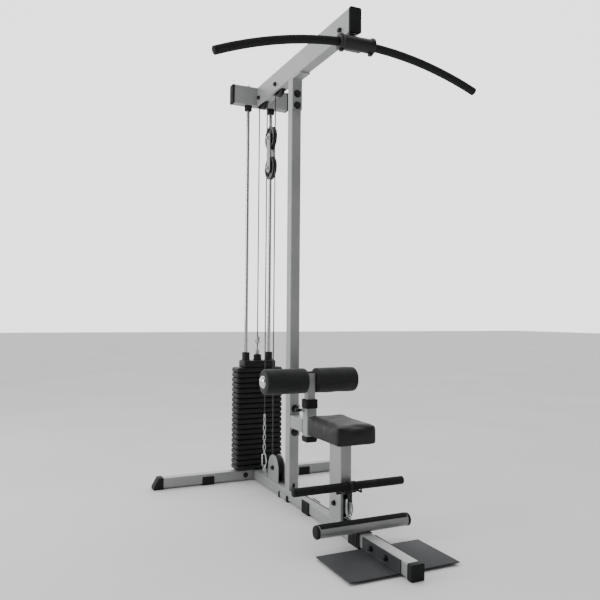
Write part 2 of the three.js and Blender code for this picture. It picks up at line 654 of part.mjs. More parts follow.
function buildLowBar() {
  const low = new THREE.Group();
  const y = FORWARD(LOW_BAR_STATION);
  const grip = rod('x', LOW_BAR_RADIUS, 2 * LOW_BAR_HALF, 0, y, LOW_BAR_Z, 20);
  const boss = rod('x', LOW_BOSS_RADIUS, 2 * LOW_BOSS_HALF, 0, y, LOW_BAR_Z, 24);
  const neck = block(-9, y - 30, LOW_BAR_Z - 30, 9, y + 30, LOW_BAR_Z + 30);
  const waist = rod('x', LOW_BAR_RADIUS - 1, 22, 0, y, LOW_BAR_Z, 24);
  const necked = join(cut(join(grip, boss), neck), waist);
  piece(low, 'low_bar', necked, RUBBER);

  // The eye plate turns freely in the waist of the bar; the snap hook hangs it on the cable.
  const ring = rod('x', 21, 16, 0, y, LOW_BAR_Z, 24);
  const ringBore = rod('x', LOW_BAR_RADIUS - 0.7, 20, 0, y, LOW_BAR_Z, 24);
  const strap = block(-4.5, y - 12, LOW_BAR_Z - 60, 4.5, y + 12, LOW_BAR_Z - 18);
  const eyeHole = rod('x', 5.2, 20, 0, y, LOW_BAR_Z - 50, 16);
  piece(low, 'low_bar_eye', cut(join(ring, strap), ringBore, eyeHole), BLACK_STEEL);
  piece(low, 'low_snap_hook', at(linkRing(34, 76, 3.6), 0, y, LOW_BAR_Z - 84), CHROME);

  // The cradle on the seat post that the bar rests in.
  const face = FORWARD(SEAT_POST_STATION) - DEEP_TUBE / 2 - GAP;
  const seatZ = LOW_BAR_Z - LOW_BAR_RADIUS - GAP;
  const back = block(-46, face - 4, seatZ - 18, 46, face, seatZ + 10);
  const prongs = [-40, 34].flatMap((x) => [
    block(x, y - 28, seatZ - 6, x + 6, face - 2, seatZ),
    block(x, y - 28, seatZ - 6, x + 6, y - 24, seatZ + 7),
  ]);
  piece(low, 'bar_cradle', join(back, ...prongs), BLACK_STEEL);
  return low;
}

/** A closed oval ring of round wire, standing in the XZ plane. */
function linkRing(width, height, wire) {
  const bend = width / 2 - wire;
  const straight = height / 2 - wire - bend;
  const corners = 2 * Math.PI * bend;
  const round = corners + 4 * straight;
  const path = new Path((t) => {
    let run = (((t % 1) + 1) % 1) * round;
    if (run < 2 * straight) return new THREE.Vector3(bend, 0, -straight + run);
    run -= 2 * straight;
    if (run < corners / 2) {
      const a = run / bend;
      return new THREE.Vector3(bend * Math.cos(a), 0, straight + bend * Math.sin(a));
    }
    run -= corners / 2;
    if (run < 2 * straight) return new THREE.Vector3(-bend, 0, straight - run);
    run = (run - 2 * straight) / bend;
    return new THREE.Vector3(-bend * Math.cos(run), 0, -straight - bend * Math.sin(run));
  });
  return ringOf(path, wire, 28, 8);
}

/** A round wire along a closed path in the XZ plane, with its ends merged into each other. */
function ringOf(path, wire, steps, sides) {
  const positions = [];
  const index = [];
  for (let i = 0; i < steps; i += 1) {
    const centre = path.getPoint(i / steps);
    const ahead = path.getPoint((i + 0.5) / steps).sub(path.getPoint((i - 0.5) / steps)).normalize();
    const outward = new THREE.Vector3().crossVectors(AXIS_Y, ahead);
    for (let j = 0; j < sides; j += 1) {
      const a = (2 * Math.PI * j) / sides;
      const p = centre.clone().addScaledVector(outward, wire * Math.cos(a));
      p.addScaledVector(AXIS_Y, wire * Math.sin(a));
      positions.push(p.x, p.y, p.z);
      const next = ((i + 1) % steps) * sides;
      const k = (j + 1) % sides;
      index.push(i * sides + j, next + k, next + j, i * sides + j, i * sides + k, next + k);
    }
  }
  const body = new THREE.BufferGeometry();
  body.setAttribute('position', new THREE.Float32BufferAttribute(positions, 3));
  body.setIndex(index);
  body.computeVertexNormals();
  return body;
}

// ---------------------------------------------------------------- cables
const RUN = PITCH + 0.6; // arcs are drawn a little large, so their chords clear the groove

/** Points on an arc round an axle, from one angle to another (0 is forward, 90 is up). */
function arcPoints(station, z, from, to) {
  const steps = Math.max(2, Math.ceil(Math.abs(to - from) / 12));
  return Array.from({ length: steps + 1 }, (_, i) => {
    const a = THREE.MathUtils.degToRad(from + ((to - from) * i) / steps);
    return new THREE.Vector3(0, FORWARD(station + RUN * Math.cos(a)), z + RUN * Math.sin(a));
  });
}

/** A cable along a list of points, with a ring of the tube at every point. */
function cable(points) {
  const steps = points.length - 1;
  const path = new Path((t) => {
    const i = Math.min(steps - 1, Math.floor(t * steps + 1e-9));
    return points[i].clone().lerp(points[i + 1], t * steps - i);
  });
  path.getPointAt = path.getPoint;
  path.getTangentAt = (t) => {
    const ahead = path.getPoint(Math.min(1, t + 0.4 / steps));
    return ahead.sub(path.getPoint(Math.max(0, t - 0.4 / steps))).normalize();
  };
  return bar(path, CABLE_RADIUS, steps, 4);
}

function buildCables() {
  const cables = new THREE.Group();
  const point = (station, z) => new THREE.Vector3(0, FORWARD(station), z);
  const lat = [
    point(FRONT_PULLEY + RUN, LAT_BAR_Z + HANGER_WINDOW + END_BALL_RISE + END_BALL + GAP),
    ...arcPoints(FRONT_PULLEY, BOOM_AXLE_Z, 0, 90),
    ...arcPoints(MID_PULLEY, BOOM_AXLE_Z, 90, 180),
    ...arcPoints(FLOAT_STATION, FLOAT_UPPER_Z, 0, -180),
    ...arcPoints(REAR_PULLEY, BOOM_AXLE_Z, 0, 180),
    point(REAR_PULLEY - RUN, TERMINAL_TOP + GAP),
  ];
  piece(cables, 'lat_cable', cable(lat), CABLE);
  const low = [
    point(FLOAT_STATION - RUN, 328),
    ...arcPoints(FLOAT_STATION, FLOAT_LOWER_Z, 180, 0),
    ...arcPoints(LOW_PULLEY, LOW_AXLE_Z, -180, -90),
    ...arcPoints(POST_PULLEY, LOW_AXLE_Z, -90, -90 + CABLE_EXIT_ANGLE),
    lowCableEnd(),
  ];
  const eye = new THREE.TorusGeometry(8.6, CABLE_RADIUS, 8, 16);
  eye.rotateY(Math.PI / 2);
  at(eye, 0, FORWARD(LOW_BAR_STATION), LOW_BAR_Z - 84 - 34.4);
  piece(cables, 'low_cable', join(cable(low), eye), CABLE);

  // The low cable's other end is held to the base by a chain, a snap hook and a staple.
  const y = FORWARD(FLOAT_STATION - RUN);
  const chain = at(extrude(roundedRectangle(11, 11, 3), 'z', 158, 328 - GAP, 2), 0, y, 0);
  piece(cables, 'anchor_chain', chain, CHROME);
  const hook = at(linkRing(30, 74, 3.5), 0, y, 120.5);
  piece(cables, 'anchor_snap_hook', hook, CHROME);
  const staplePath = new Path((t) => {
    const straight = 28;
    const bend = 12;
    const total = 2 * straight + Math.PI * bend;
    const run = t * total;
    if (run < straight) return new THREE.Vector3(0, -bend, run);
    if (run > total - straight) return new THREE.Vector3(0, bend, total - run);
    const a = (run - straight) / bend;
    return new THREE.Vector3(0, -bend * Math.cos(a), straight + bend * Math.sin(a));
  });
  piece(cables, 'anchor_staple', at(bar(staplePath, 3.5, 16, 4), 0, y, BASE_TOP + GAP), CHROME);
  return cables;
}

/** Where the low cable ends, in the back of the eye that holds the bar's snap hook. */
function lowCableEnd() {
  return new THREE.Vector3(0, FORWARD(LOW_BAR_STATION - 8.6), LOW_BAR_Z - 84 - 34.4 - 1);
}

const sections = [
  buildBase,
  buildFrame,
  buildStack,
  buildPulleys,
  buildSeat,
  buildHoldDown,
  buildFeet,
  buildLatBar,
  buildLowBar,
  buildCables,
];
for (const build of sections) machine.add(build());

export default machine;
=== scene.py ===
"""Lat pulldown and low row machine: surfaces, finishes, stage and camera, laid out as an add-on."""

import math

import bmesh
import bpy
import numpy as np
from bpy.props import FloatProperty, FloatVectorProperty, IntProperty, PointerProperty
from bpy.types import Operator, Panel, PropertyGroup
from mathutils import Matrix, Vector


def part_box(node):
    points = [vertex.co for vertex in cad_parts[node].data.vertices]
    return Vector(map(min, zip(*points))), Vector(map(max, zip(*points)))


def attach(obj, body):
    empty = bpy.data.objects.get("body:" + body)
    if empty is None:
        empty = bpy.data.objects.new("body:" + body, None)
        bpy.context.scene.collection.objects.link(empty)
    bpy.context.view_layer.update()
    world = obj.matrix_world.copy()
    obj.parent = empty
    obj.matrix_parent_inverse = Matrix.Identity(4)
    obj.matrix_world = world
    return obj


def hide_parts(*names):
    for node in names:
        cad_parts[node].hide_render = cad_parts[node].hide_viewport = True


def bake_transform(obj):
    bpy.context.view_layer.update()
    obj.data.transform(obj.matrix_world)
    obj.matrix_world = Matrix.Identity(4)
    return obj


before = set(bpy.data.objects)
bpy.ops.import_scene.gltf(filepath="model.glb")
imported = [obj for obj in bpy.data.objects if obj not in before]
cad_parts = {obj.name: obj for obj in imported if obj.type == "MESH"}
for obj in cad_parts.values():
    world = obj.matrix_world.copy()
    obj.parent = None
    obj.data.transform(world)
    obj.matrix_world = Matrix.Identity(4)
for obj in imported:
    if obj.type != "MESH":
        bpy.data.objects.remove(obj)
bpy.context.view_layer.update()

bl_info = {
    "name": "Lat Pulldown Machine",
    "version": (1, 0, 0),
    "blender": (4, 5, 0),
    "location": "3D View > Sidebar > Pulldown",
    "description": "Builds the surfaces, finishes and studio of a lat pulldown and low row machine",
    "category": "Object",
}

MM = 0.001
HALF_TUBE = 25 * MM  # half the side of the square frame tube
ROD_OFFSET = 66 * MM  # from the middle line to a guide rod
BAR_HALF = 0.593  # from the pulldown bar's middle to the end of its run, before the tilt
BAR_DROOP = 0.118  # how far the pulldown bar's ends hang below its middle
X, Y, Z = np.eye(3)


# ------------------------------------------------------------------ places taken from the frame
def low(node):
    """Lowest corner of a CAD node, in metres."""
    return np.array(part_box(node)[0], float)


def high(node):
    """Highest corner of a CAD node, in metres."""
    return np.array(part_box(node)[1], float)


def middle(node):
    """Middle of a CAD node's box, in metres."""
    return (low(node) + high(node)) / 2


def linear(code):
    """An sRGB hex value such as "a7a9a8" as linear red, green, blue."""
    srgb = np.array([int(code[i : i + 2], 16) for i in (0, 2, 4)]) / 255
    value = np.where(srgb <= 0.04045, srgb / 12.92, ((srgb + 0.055) / 1.055) ** 2.4)
    return tuple(float(v) for v in value)


def scaled(pairs, start=0.0, way=1):
    """A profile of (radius, along) pairs in millimetres as metres: along runs from start, forwards or backwards."""
    return [(radius * MM, start + way * along * MM) for radius, along in pairs]


# ------------------------------------------------------------------ surfaces
def circle(radius, count, start=0.0):
    """Points at equal angles on a circle: (r cos a, r sin a)."""
    a = start + np.arange(count) * 2 * math.pi / count
    return radius * np.stack([np.cos(a), np.sin(a)], axis=1)


def rounded(width, height, radius, per_corner=6):
    """A rectangle whose corners are quarter circles: each corner's centre plus radius (cos a, sin a)."""
    radius = min(radius, width / 2, height / 2)
    a = np.linspace(0, math.pi / 2, per_corner)[None, :] + np.arange(4)[:, None] * math.pi / 2
    signs = np.array([[1, 1], [-1, 1], [-1, -1], [1, -1]])
    centres = signs * np.array([width / 2 - radius, height / 2 - radius])
    points = centres[:, None, :] + radius * np.stack([np.cos(a), np.sin(a)], axis=2)
    return points.reshape(-1, 2)


def grid(points, wrap_rows=False, wrap_columns=True):
    """A surface through a (rows, columns, 3) array: quads join neighbours, and wrap round where asked."""
    rows, columns = points.shape[:2]
    i = np.arange(rows if wrap_rows else rows - 1)
    j = np.arange(columns if wrap_columns else columns - 1)
    i, j = np.meshgrid(i, j, indexing="ij")
    here, ahead = i * columns, ((i + 1) % rows) * columns
    right = (j + 1) % columns
    faces = np.stack([here + j, here + right, ahead + right, ahead + j], axis=-1)
    return points.reshape(-1, 3), faces.reshape(-1, 4)


def basis(axis):
    """Two directions across an axis that make a right-handed set with it."""
    return {"x": (Y, Z, X), "y": (Z, X, Y), "z": (X, Y, Z)}[axis]


def turned(profile, axis, centre, steps=48):
    """A profile of (radius, along) turned round an axis: centre + r cos a u + r sin a v + along w.
    A profile that starts and ends on the axis closes there, and one that ends where it starts is a ring."""
    u, v, w = basis(axis)
    r, along = np.array(profile, float).T
    a = np.arange(steps) * 2 * math.pi / steps
    ring = np.cos(a)[:, None] * u + np.sin(a)[:, None] * v
    points = np.array(centre) + r[:, None, None] * ring + along[:, None, None] * w
    return grid(points)


def layered(size, radius, levels, axis, centre, per_corner=6):
    """A rounded rectangle carried along an axis through levels of (inset, along): each ring is the
    rectangle drawn in by its inset, and the first and last rings close on the middle."""
    u, v, w = basis(axis)
    rings = []
    for inset, along in levels:
        flat = rounded(size[0] - 2 * inset, size[1] - 2 * inset, max(radius - inset, 1e-5), per_corner)
        rings.append(np.array(centre) + flat[:, :1] * u + flat[:, 1:] * v + along * w)
    ends = [np.repeat(r.mean(axis=0)[None], len(r), axis=0) for r in (rings[0], rings[-1])]
    return grid(np.stack([ends[0], *rings, ends[1]]))


def slab(size, radius, from_, to, axis, centre, edge=1.0 * MM, per_corner=6, steps=3):
    """A rounded plate between two heights whose edges roll over on a quarter circle."""
    a = np.linspace(0, math.pi / 2, steps + 1)
    down = [(edge * (1 - math.sin(t)), from_ + edge * (1 - math.cos(t))) for t in a]
    up = [(edge * (1 - math.cos(t)), to - edge * (1 - math.sin(t))) for t in a]
    return layered(size, radius, down + up, axis, centre, per_corner)


def carried(section, path, across, closed=False):
    """A section carried along a path in one plane: path + s (tangent x across) + t across.
    An open path's ends close on the path itself."""
    path = np.array(path, float)
    if closed:
        tangent = np.roll(path, -1, axis=0) - np.roll(path, 1, axis=0)
    else:
        tangent = np.gradient(path, axis=0)
    tangent /= np.linalg.norm(tangent, axis=1)[:, None]
    side = np.cross(tangent, across)
    flat = np.array(section)
    points = path[:, None] + flat[None, :, :1] * side[:, None] + flat[None, :, 1:] * np.array(across)
    if not closed:
        ends = [np.repeat(path[k][None], len(flat), axis=0)[None] for k in (0, -1)]
        points = np.concatenate([ends[0], points, ends[1]])
    return grid(points, wrap_rows=closed)


def arc(centre, radius, first, last, count=24):
    """Points on an arc in the YZ plane: angle 0 is forward (-Y), 90 is up, in degrees."""
    a = np.radians(np.linspace(first, last, count))
    flat = np.stack([np.zeros(count), -np.cos(a), np.sin(a)], axis=1)
    return np.array(centre) + radius * flat


def straight(start, end, count=2):
    """Points on a line from start to end."""
    t = np.linspace(0, 1, count)[:, None]
    return np.array(start) * (1 - t) + np.array(end) * t


def hexagon(width, height, axis, centre, facing=1):
    """A bolt head: a hexagon across flats `width`, its outer edge cut back by a chamfer."""
    r = width / math.sqrt(3)
    cut = 0.08 * width
    u, v, w = basis(axis)
    rings = []
    for radius, along in [(0, 0), (r, 0), (r, height - cut * 0.6), (r - cut, height), (0, height)]:
        flat = circle(radius, 6)
        rings.append(np.array(centre) + flat[:, :1] * u + flat[:, 1:] * v + facing * along * w)
    return grid(np.stack(rings))


def bolt(width, axis, centre, facing=1):
    """A washer, a hexagonal head on it, and a low crown on the head."""
    washer = [(0, 0), (width * 0.78, 0), (width * 0.78, 1.6 * MM), (width * 0.5, 1.8 * MM), (0, 1.8 * MM)]
    lifted = np.array(centre) + basis(axis)[2] * facing * 1.7 * MM
    crown = lifted + basis(axis)[2] * facing * 0.6 * width
    dome = [(0, -0.05 * width), (width * 0.40, -0.05 * width), (width * 0.3, 0.03 * width), (0, 0.05 * width)]
    return [
        turned([(r, facing * t) for r, t in washer], axis, centre, 28),
        hexagon(width, 0.6 * width, axis, lifted, facing),
        turned([(r, facing * t) for r, t in dome], axis, crown, 20),
    ]


# ------------------------------------------------------------------ pieces
def piece(name, surfaces, finish, body, replaces=(), sharp=35, uv=None):
    """Makes one mesh of several closed surfaces: doubles merged, faces out, edges sharp past an angle."""
    vertices, faces, start = [], [], 0
    for points, quads in surfaces:
        vertices.append(points)
        faces.extend((quads + start).tolist())
        start += len(points)
    mesh = bpy.data.meshes.new(name)
    mesh.from_pydata(np.concatenate(vertices).tolist(), [], faces)
    work = bmesh.new()
    work.from_mesh(mesh)
    if uv is not None:
        # A face across the seam takes 1 in place of 0, so that the pattern closes round the piece.
        layer = work.loops.layers.uv.new("UVMap")
        for face in work.faces:
            here = uv[[loop.vert.index for loop in face.loops]]
            here[:, 0] += (here[:, 0] < 0.5) & (np.ptp(here[:, 0]) > 0.5)
            for loop, place in zip(face.loops, here):
                loop[layer].uv = place
    bmesh.ops.remove_doubles(work, verts=work.verts, dist=1e-6)
    bmesh.ops.dissolve_degenerate(work, edges=work.edges, dist=1e-7)
    bmesh.ops.recalc_face_normals(work, faces=work.faces)
    work.to_mesh(mesh)
    work.free()
    mesh.shade_smooth()
    mesh.set_sharp_from_angle(angle=math.radians(sharp))
    obj = bpy.data.objects.new(name, mesh)
    bpy.context.scene.collection.objects.link(obj)
    mesh.materials.append(MATERIALS[finish])
    if replaces:
        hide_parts(*replaces)
    if isinstance(body, str):
        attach(obj, body)
    elif body is not None:
        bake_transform(obj)
    return obj


def refinish(finish, *nodes):
    """Gives CAD nodes a finish, in place of their plain colour."""
    for name in nodes:
        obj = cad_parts[name]
        obj.data.materials.clear()
        obj.data.materials.append(MATERIALS[finish])


# ------------------------------------------------------------------ finishes
MATERIALS = {}


def add(tree, kind, settings=(), **links):
    """Adds a node, sets its properties and sockets, and links its inputs from other nodes' outputs."""
    made = tree.nodes.new(kind)
    for key, value in dict(settings).items():
        if isinstance(key, str) and hasattr(made, key):
            setattr(made, key, value)
        else:
            made.inputs[key].default_value = value
    for key, source in links.items():
        socket = made.inputs[int(key[1:])] if key[0] == "i" and key[1:].isdigit() else made.inputs[key.replace("_", " ")]
        tree.links.new(source, socket)
    return made


def start_material(name, roughness, metallic, gleam=0.5):
    """An empty material with a Principled shader of uniform roughness, metallic value and specular level."""
    made = bpy.data.materials.new(name)
    made.use_nodes = True
    tree = made.node_tree
    tree.nodes.clear()
    shader = add(tree, "ShaderNodeBsdfPrincipled", {"Roughness": roughness, "Metallic": metallic, "Specular IOR Level": gleam})
    add(tree, "ShaderNodeOutputMaterial", (), Surface=shader.outputs["BSDF"])
    MATERIALS[name] = made
    return tree, shader


def two_tone(tree, shader, source, dark, light, low_at=0.35, high_at=0.65):
    """Base colour that runs between two hex values as a pattern goes from low_at to high_at."""
    ramp = add(tree, "ShaderNodeValToRGB", (), Fac=source)
    ramp.color_ramp.elements[0].position = low_at
    ramp.color_ramp.elements[1].position = high_at
    ramp.color_ramp.elements[0].color = (*linear(dark), 1)
    ramp.color_ramp.elements[1].color = (*linear(light), 1)
    tree.links.new(ramp.outputs["Color"], shader.inputs["Base Color"])


def worn_roughness(tree, shader, source, smooth, rough):
    """Roughness that runs between two values with a pattern."""
    span = add(tree, "ShaderNodeMapRange", {"From Min": 0.3, "From Max": 0.7, "To Min": smooth, "To Max": rough}, Value=source)
    tree.links.new(span.outputs["Result"], shader.inputs["Roughness"])


def relief(tree, shader, source, depth_mm, strength=1.0):
    """Bump of a real depth in millimetres."""
    bump = add(tree, "ShaderNodeBump", {"Strength": strength, "Distance": depth_mm * MM}, Height=source)
    tree.links.new(bump.outputs["Normal"], shader.inputs["Normal"])


def noise(size_mm, detail=2.0, roughness=0.5):
    """Settings of a noise whose blotches are about this wide."""
    return {"Scale": 1000 / size_mm, "Detail": detail, "Roughness": roughness}


def make_finishes(colours):
    """Every finish of the machine."""
    # Powder coat: sprayed dry and baked, so an even satin skin with a faint orange peel about 2 mm wide.
    tree, shader = start_material("powder_coat", 0.42, 0.3)
    place = add(tree, "ShaderNodeTexCoord").outputs["Object"]
    cloud = add(tree, "ShaderNodeTexNoise", noise(180, 3), Vector=place).outputs["Fac"]
    peel = add(tree, "ShaderNodeTexNoise", noise(2.2, 1), Vector=place).outputs["Fac"]
    two_tone(tree, shader, cloud, colours["frame_dark"], colours["frame_light"])
    worn_roughness(tree, shader, cloud, 0.38, 0.5)
    relief(tree, shader, peel, 0.05, 0.5)
    # Black powder coat: the same skin in near black, a little glossier where hands rub it.
    tree, shader = start_material("black_coat", 0.45, 0.0, 0.35)
    place = add(tree, "ShaderNodeTexCoord").outputs["Object"]
    cloud = add(tree, "ShaderNodeTexNoise", noise(60, 3), Vector=place).outputs["Fac"]
    peel = add(tree, "ShaderNodeTexNoise", noise(1.8, 1), Vector=place).outputs["Fac"]
    two_tone(tree, shader, cloud, "121314", "1c1d1e")
    worn_roughness(tree, shader, cloud, 0.36, 0.52)
    relief(tree, shader, peel, 0.06, 0.5)
    # Slate powder coat: the foot plates' darker grey, with a fine sandy texture for grip.
    tree, shader = start_material("slate_coat", 0.7, 0.0, 0.25)
    place = add(tree, "ShaderNodeTexCoord").outputs["Object"]
    cloud = add(tree, "ShaderNodeTexNoise", noise(70, 3), Vector=place).outputs["Fac"]
    sand = add(tree, "ShaderNodeTexNoise", noise(1.5, 2, 0.6), Vector=place).outputs["Fac"]
    two_tone(tree, shader, cloud, "323436", "3c3e40")
    worn_roughness(tree, shader, cloud, 0.66, 0.76)
    relief(tree, shader, sand, 0.12, 0.6)
    # Moulded rubber: dull, with the fine spark-eroded grain of its mould and paler scuffs.
    tree, shader = start_material("moulded_rubber", 0.8, 0.0, 0.25)
    place = add(tree, "ShaderNodeTexCoord").outputs["Object"]
    scuff = add(tree, "ShaderNodeTexNoise", noise(25, 4, 0.6), Vector=place).outputs["Fac"]
    grain = add(tree, "ShaderNodeTexNoise", noise(1.2, 2), Vector=place).outputs["Fac"]
    two_tone(tree, shader, scuff, "161718", "232425", 0.4, 0.75)
    worn_roughness(tree, shader, scuff, 0.68, 0.85)
    relief(tree, shader, grain, 0.12, 0.6)
    # Nitrile foam: a closed skin of tiny cells, drawn 1.6 mm wide so that it shows, with flow marks along it.
    tree, shader = start_material("nitrile_foam", 0.85, 0.0, 0.3)
    shader.inputs["Sheen Weight"].default_value = 0.12
    shader.inputs["Sheen Roughness"].default_value = 0.5
    place = add(tree, "ShaderNodeTexCoord").outputs["Object"]
    long = add(tree, "ShaderNodeMapping", {"Scale": (0.12, 1, 1)}, Vector=place).outputs["Vector"]
    flow = add(tree, "ShaderNodeTexNoise", noise(14, 4, 0.6), Vector=long).outputs["Fac"]
    cells = add(tree, "ShaderNodeTexVoronoi", {"Scale": 1000 / 1.6}, Vector=place).outputs["Distance"]
    both = add(tree, "ShaderNodeMath", {"operation": "MULTIPLY_ADD", 2: 0.0, 1: 0.5}, i0=cells)
    tree.links.new(flow, both.inputs[2])
    two_tone(tree, shader, flow, "1a1b1c", "272829", 0.3, 0.7)
    relief(tree, shader, both.outputs["Value"], 0.35, 0.6)
    # Upholstery vinyl: an embossed leather grain of pebbles about 1.8 mm across, with a soft sheen.
    tree, shader = start_material("upholstery_vinyl", 0.5, 0.0, 0.3)
    shader.inputs["Coat Weight"].default_value = 0.05
    shader.inputs["Coat Roughness"].default_value = 0.45
    place = add(tree, "ShaderNodeTexCoord").outputs["Object"]
    cloud = add(tree, "ShaderNodeTexNoise", noise(40, 3), Vector=place).outputs["Fac"]
    pebbles = add(tree, "ShaderNodeTexVoronoi", {"Scale": 1000 / 1.8, "feature": "DISTANCE_TO_EDGE"}, Vector=place)
    crease = add(tree, "ShaderNodeMapRange", {"From Max": 0.25}, Value=pebbles.outputs["Distance"]).outputs["Result"]
    two_tone(tree, shader, cloud, colours["vinyl_dark"], colours["vinyl_light"])
    worn_roughness(tree, shader, cloud, 0.44, 0.56)
    relief(tree, shader, crease, 0.18, 0.5)
    # Glass-filled nylon: moulded then turned, so faint rings, and a dull shine from the cable's rubbing.
    tree, shader = start_material("filled_nylon", 0.42, 0.0, 0.35)
    place = add(tree, "ShaderNodeTexCoord").outputs["Object"]
    streak = add(tree, "ShaderNodeTexNoise", noise(6, 4, 0.65), Vector=place).outputs["Fac"]
    two_tone(tree, shader, streak, "131415", "202122")
    worn_roughness(tree, shader, streak, 0.34, 0.5)
    relief(tree, shader, streak, 0.05, 0.5)
    # Painted cast iron: thick paint over the sand grain of the mould, about 3 mm, chipped lighter here and there.
    tree, shader = start_material("painted_iron", 0.55, 0.0, 0.3)
    place = add(tree, "ShaderNodeTexCoord").outputs["Object"]
    sand = add(tree, "ShaderNodeTexNoise", noise(3.0, 3, 0.6), Vector=place).outputs["Fac"]
    patch = add(tree, "ShaderNodeTexNoise", noise(45, 4, 0.55), Vector=place).outputs["Fac"]
    two_tone(tree, shader, patch, "0e0f10", "181919")
    worn_roughness(tree, shader, patch, 0.45, 0.6)
    relief(tree, shader, sand, 0.25, 0.6)
    # Bright chrome: plated over polished steel, with a faint haze of fingerprints.
    tree, shader = start_material("bright_chrome", 0.12, 1.0)
    place = add(tree, "ShaderNodeTexCoord").outputs["Object"]
    haze = add(tree, "ShaderNodeTexNoise", noise(15, 4, 0.6), Vector=place).outputs["Fac"]
    two_tone(tree, shader, haze, "c4c7c8", "d2d4d5")
    worn_roughness(tree, shader, haze, 0.08, 0.2)
    # Zinc plate: a pale grey passivated skin on bolts, clamps and chain.
    tree, shader = start_material("zinc_plate", 0.35, 1.0)
    place = add(tree, "ShaderNodeTexCoord").outputs["Object"]
    haze = add(tree, "ShaderNodeTexNoise", noise(5, 3, 0.6), Vector=place).outputs["Fac"]
    two_tone(tree, shader, haze, "a9acad", "c6c8c9")
    worn_roughness(tree, shader, haze, 0.28, 0.45)
    # Ground steel: centreless-ground and plated rod, its fine scratches running round it, drawn 1 mm apart to show.
    tree, shader = start_material("ground_steel", 0.16, 1.0)
    place = add(tree, "ShaderNodeTexCoord").outputs["Object"]
    round_it = add(tree, "ShaderNodeMapping", {"Scale": (0.02, 0.02, 1)}, Vector=place).outputs["Vector"]
    scratch = add(tree, "ShaderNodeTexNoise", noise(1.0, 3, 0.6), Vector=round_it).outputs["Fac"]
    two_tone(tree, shader, scratch, "b6b9bb", "c6c9ca")
    worn_roughness(tree, shader, scratch, 0.12, 0.2)
    # Coated wire rope: twisted strands that show as ridges under a black nylon sleeve, one twist every 9 mm of its
    # length. The colour is painted shade in the grooves between the ridges and painted highlight on their crests.
    tree, shader = start_material("coated_rope", 0.35, 0.0)
    along = add(tree, "ShaderNodeUVMap", {"uv_map": "UVMap"}).outputs["UV"]
    slope = add(tree, "ShaderNodeMapping", {"Scale": (6, 1000 / 9, 1)}, Vector=along).outputs["Vector"]
    strand_ridges_and_groove_shade = add(tree, "ShaderNodeTexWave", {"Scale": 0.16, "Distortion": 0.0, "bands_direction": "DIAGONAL"}, Vector=slope)
    # Painted shade and highlight: the colour is darker in the grooves and lighter on the ridges, following the ridges'
    # height.
    two_tone(tree, shader, strand_ridges_and_groove_shade.outputs["Fac"], "1c1d1e", "343536", 0.2, 0.8)
    relief(tree, shader, strand_ridges_and_groove_shade.outputs["Fac"], 0.3, 0.5)


# ------------------------------------------------------------------ what a user would change
class PulldownFinish(PropertyGroup):
    """Colours of the coated frame and the seat, as linear colour."""

    frame_light: FloatVectorProperty(
        name="Frame light",
        description="Lighter tone of the powder coat",
        subtype="COLOR", size=3, min=0, max=1, default=linear("9fa19f"),
    )
    frame_dark: FloatVectorProperty(
        name="Frame dark",
        description="Darker tone of the powder coat",
        subtype="COLOR", size=3, min=0, max=1, default=linear("929594"),
    )
    vinyl_light: FloatVectorProperty(
        name="Vinyl light",
        description="Lighter tone of the seat vinyl",
        subtype="COLOR", size=3, min=0, max=1, default=linear("1a1b1c"),
    )
    vinyl_dark: FloatVectorProperty(
        name="Vinyl dark",
        description="Darker tone of the seat vinyl",
        subtype="COLOR", size=3, min=0, max=1, default=linear("131415"),
    )


class PulldownSizes(PropertyGroup):
    """Sizes of the pieces that the frame leaves open."""

    bolt_width: FloatProperty(
        name="Bolt width",
        description="Width across flats of a structural bolt",
        subtype="DISTANCE", unit="LENGTH", default=19 * MM,
    )
    plate_edge: FloatProperty(
        name="Plate edge",
        description="Rounding of a weight plate's edges",
        subtype="DISTANCE", unit="LENGTH", default=8 * MM,
    )
    cushion_swell: FloatProperty(
        name="Cushion swell",
        description="How far the seat's cover may move as it fills",
        subtype="DISTANCE", unit="LENGTH", default=6 * MM,
    )
    chain_wire: FloatProperty(
        name="Chain wire",
        description="Diameter of the chain's wire",
        subtype="DISTANCE", unit="LENGTH", default=5 * MM,
    )
    pulley_ribs: IntProperty(name="Pulley ribs", description="Ribs on each face of a pulley", default=6, min=0, max=12)


def sizes():
    """The sizes in the scene."""
    return bpy.context.scene.pulldown_sizes


def around(node, axis):
    """Middle of a CAD node's box, with its place along an axis set to nought, for turning round that axis."""
    place = middle(node)
    place["xyz".index(axis)] = 0
    return place


# ------------------------------------------------------------------ frame
class PULLDOWN_OT_finishes(Operator):
    """Makes every finish, and gives the frame's tubes, caps and feet theirs"""

    bl_idname = "pulldown.finishes"
    bl_label = "Finishes"

    def execute(self, context):
        chosen = context.scene.pulldown_finish
        tones = ("frame_dark", "frame_light", "vinyl_dark", "vinyl_light")
        make_finishes({tone: hex_of(getattr(chosen, tone)) for tone in tones})
        refinish(
            "powder_coat", "base_tube", "rear_cross_tube", "upright", "boom", "boom_bracket", "top_cross_tube",
            "seat_post", "holder_arm", "holder_tube", "roller_post", "low_pulley_guard",
        )
        refinish("black_coat", "bar_cradle", "lat_hanger")
        refinish(
            "moulded_rubber", "base_front_cap", "cross_cap_left", "cross_cap_right", "boom_cap",
            "saddle_foot_left", "saddle_foot_right", "saddle_foot_rear", "saddle_foot_middle", "saddle_foot_front",
        )
        refinish("zinc_plate", "lat_cable_end")
        return {"FINISHED"}


def hex_of(colour):
    """A linear colour as its sRGB hex value: the inverse of linear()."""
    value = np.array(colour[:])
    srgb = np.where(value <= 0.0031308, value * 12.92, 1.055 * value ** (1 / 2.4) - 0.055)
    return "".join(f"{int(round(v * 255)):02x}" for v in np.clip(srgb, 0, 1))


